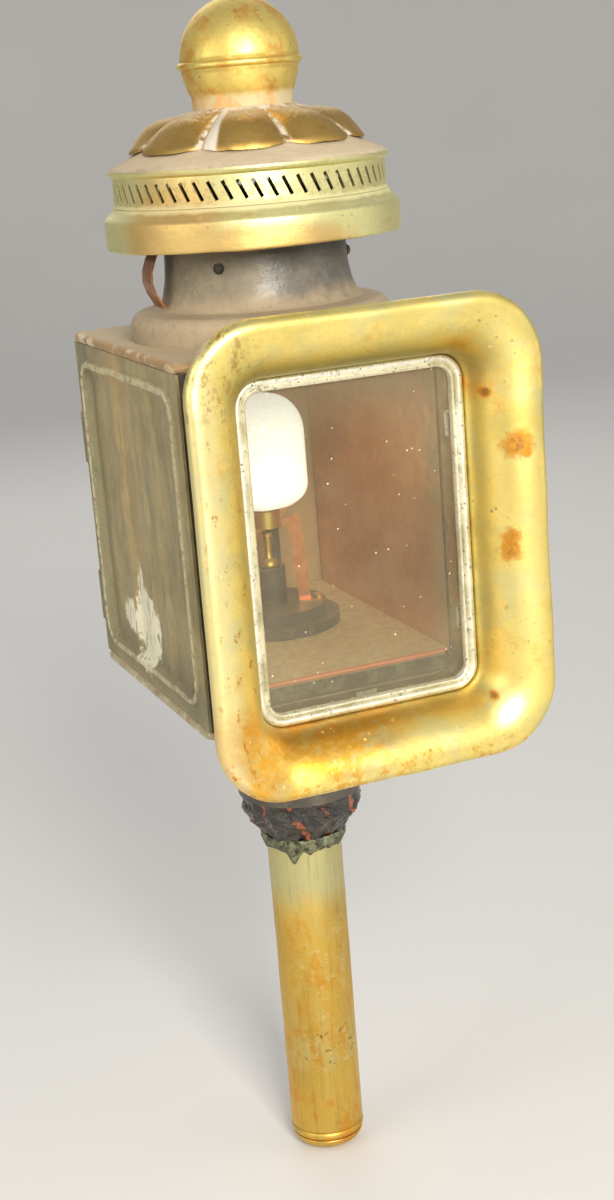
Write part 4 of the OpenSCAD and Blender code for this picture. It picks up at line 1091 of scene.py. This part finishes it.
def build_crown(material):
    """Petals pressed in one thin sheet: uneven, wrinkled and a little wavy at the hem."""
    low = corners("petal_crown")[0]
    top = 282.9
    inner, flat, reach_out, puff_up, sheet = 17.2, 18.6, 43.5, 5.0, 0.9
    rows, around = 20, 208

    def petal(row, step, under):
        angle = 2 * math.pi * step / around
        k = max(row - 1, 0) / (rows - 1)
        wave = abs(math.sin(angle * PETALS / 2))
        which = math.floor(angle * PETALS / (2 * math.pi))
        own = noise.noise(Vector((which * 2.37, 0.7, 1.9)))
        reach = reach_out - 3.4 * (1 - wave) ** 1.5 - 0.5 - 0.6 * abs(own)
        r = inner if row == 0 else flat + (reach - flat) * k
        puff = (puff_up * (1 - 0.15 * abs(own)) * math.sin(math.pi * k ** 1.6) + 0.7 * k) * wave ** 0.8
        fall = 0.55 * max(r - flat, 0)
        crease = 0.45 * uneven(about(angle, r / 6, 4.4)) * min(1, k * 3) * wave
        hem = 0.5 * noise.noise(about(angle, 9, 7.7)) * k ** 6
        z = top - fall + puff - under - 0.3 * k - abs(crease) * 0.6 + hem
        lowest = low.z + (sheet - under) * 0.9
        return about(angle, r - 0.25 + hem * 0.4, max(z, lowest))

    points = [petal(i, j, 0) for i in range(rows + 1) for j in range(around)]
    points += [petal(i, j, sheet) for i in range(rows, -1, -1) for j in range(around)]
    faces = flipped(grid_faces(2 * (rows + 1), around))
    return piece("crown_sheet", points, faces, ["petal_crown"], material, 55)


def build_finial(material):
    low, high = corners("finial")
    r = high.x - 1.1
    centre = high.z - r
    foot = low.z
    bore = 3.0
    outline = [(18.2, foot), (18.4, foot + 4), (19.6, foot + 6.7), (20.6, foot + 10.1),
               (r - 0.3, foot + 13.0)]
    outline += arc((r - 0.2, foot + 14.9), 1.3, -88, 88, 10)
    outline += arc((0, centre), r, 0, 90, 22)[:-1]
    outline += [(0.05, high.z - 0.02), (0.05, 300), (bore, 300), (bore, foot)]
    return turned("finial_ball", ["finial"], divided(outline, 2.2), material, 144, dent=0.3, size=12,
                  seed=9)


# ---------------------------------------------------------------- putting it together

add_stage()
add_camera()
add_light("key", (-0.16, -1.2, 0.62), 0.42, 19, (1.0, 0.98, 0.94))
add_light("fill", (-1.35, -0.35, 0.5), 0.9, 5.5, (1.0, 0.99, 0.96))
add_light("right", (1.2, -0.75, 0.4), 1.3, 4, (1.0, 0.99, 0.97))
add_light("back", (0.3, 1.3, 0.9), 1.0, 4)
bpy.context.scene.view_settings.view_transform = "Standard"

MATERIALS = {make.__name__: make() for make in (
    bell_brass, stem_brass, cap_brass, crown_brass, finial_brass, small_brass, body_tin, plate_tin,
    door_tin, neck_tin, cone_tin, base_tin, inner_tin, ferrule_black, solder, silver_bezel,
    copper_reflector, copper_strip, pane_glass, opal_glass, black_fibre, spring_steel, wire_cover)}

for node, cad_object in frame["nodes"].items():
    cad_object.data.materials.clear()
    cad_object.data.materials.append(MATERIALS[SLOT_OF[node]])
frame["nodes"]["floor_plate"].data.materials[0] = floor_copper()
frame["nodes"]["front_throat"].data.materials[0] = throat_tin()
frame["nodes"]["neck_rivets"].data.materials[0] = MATERIALS["inner_tin"]

build_bell(MATERIALS["bell_brass"])
build_bezel(MATERIALS["silver_bezel"])
build_panel("panel_left_sheet", "side_panel_left", -1, MATERIALS["body_tin"])
build_panel("panel_right_sheet", "side_panel_right", 1, MATERIALS["body_tin"])
build_stem(MATERIALS["stem_brass"])
build_ferrule(MATERIALS["ferrule_black"])
build_solder(MATERIALS["solder"])
build_neck(MATERIALS["neck_tin"])
build_skirt(MATERIALS["cap_brass"])
build_cone(MATERIALS["cone_tin"])
build_crown(MATERIALS["crown_brass"])
build_finial(MATERIALS["finial_brass"])
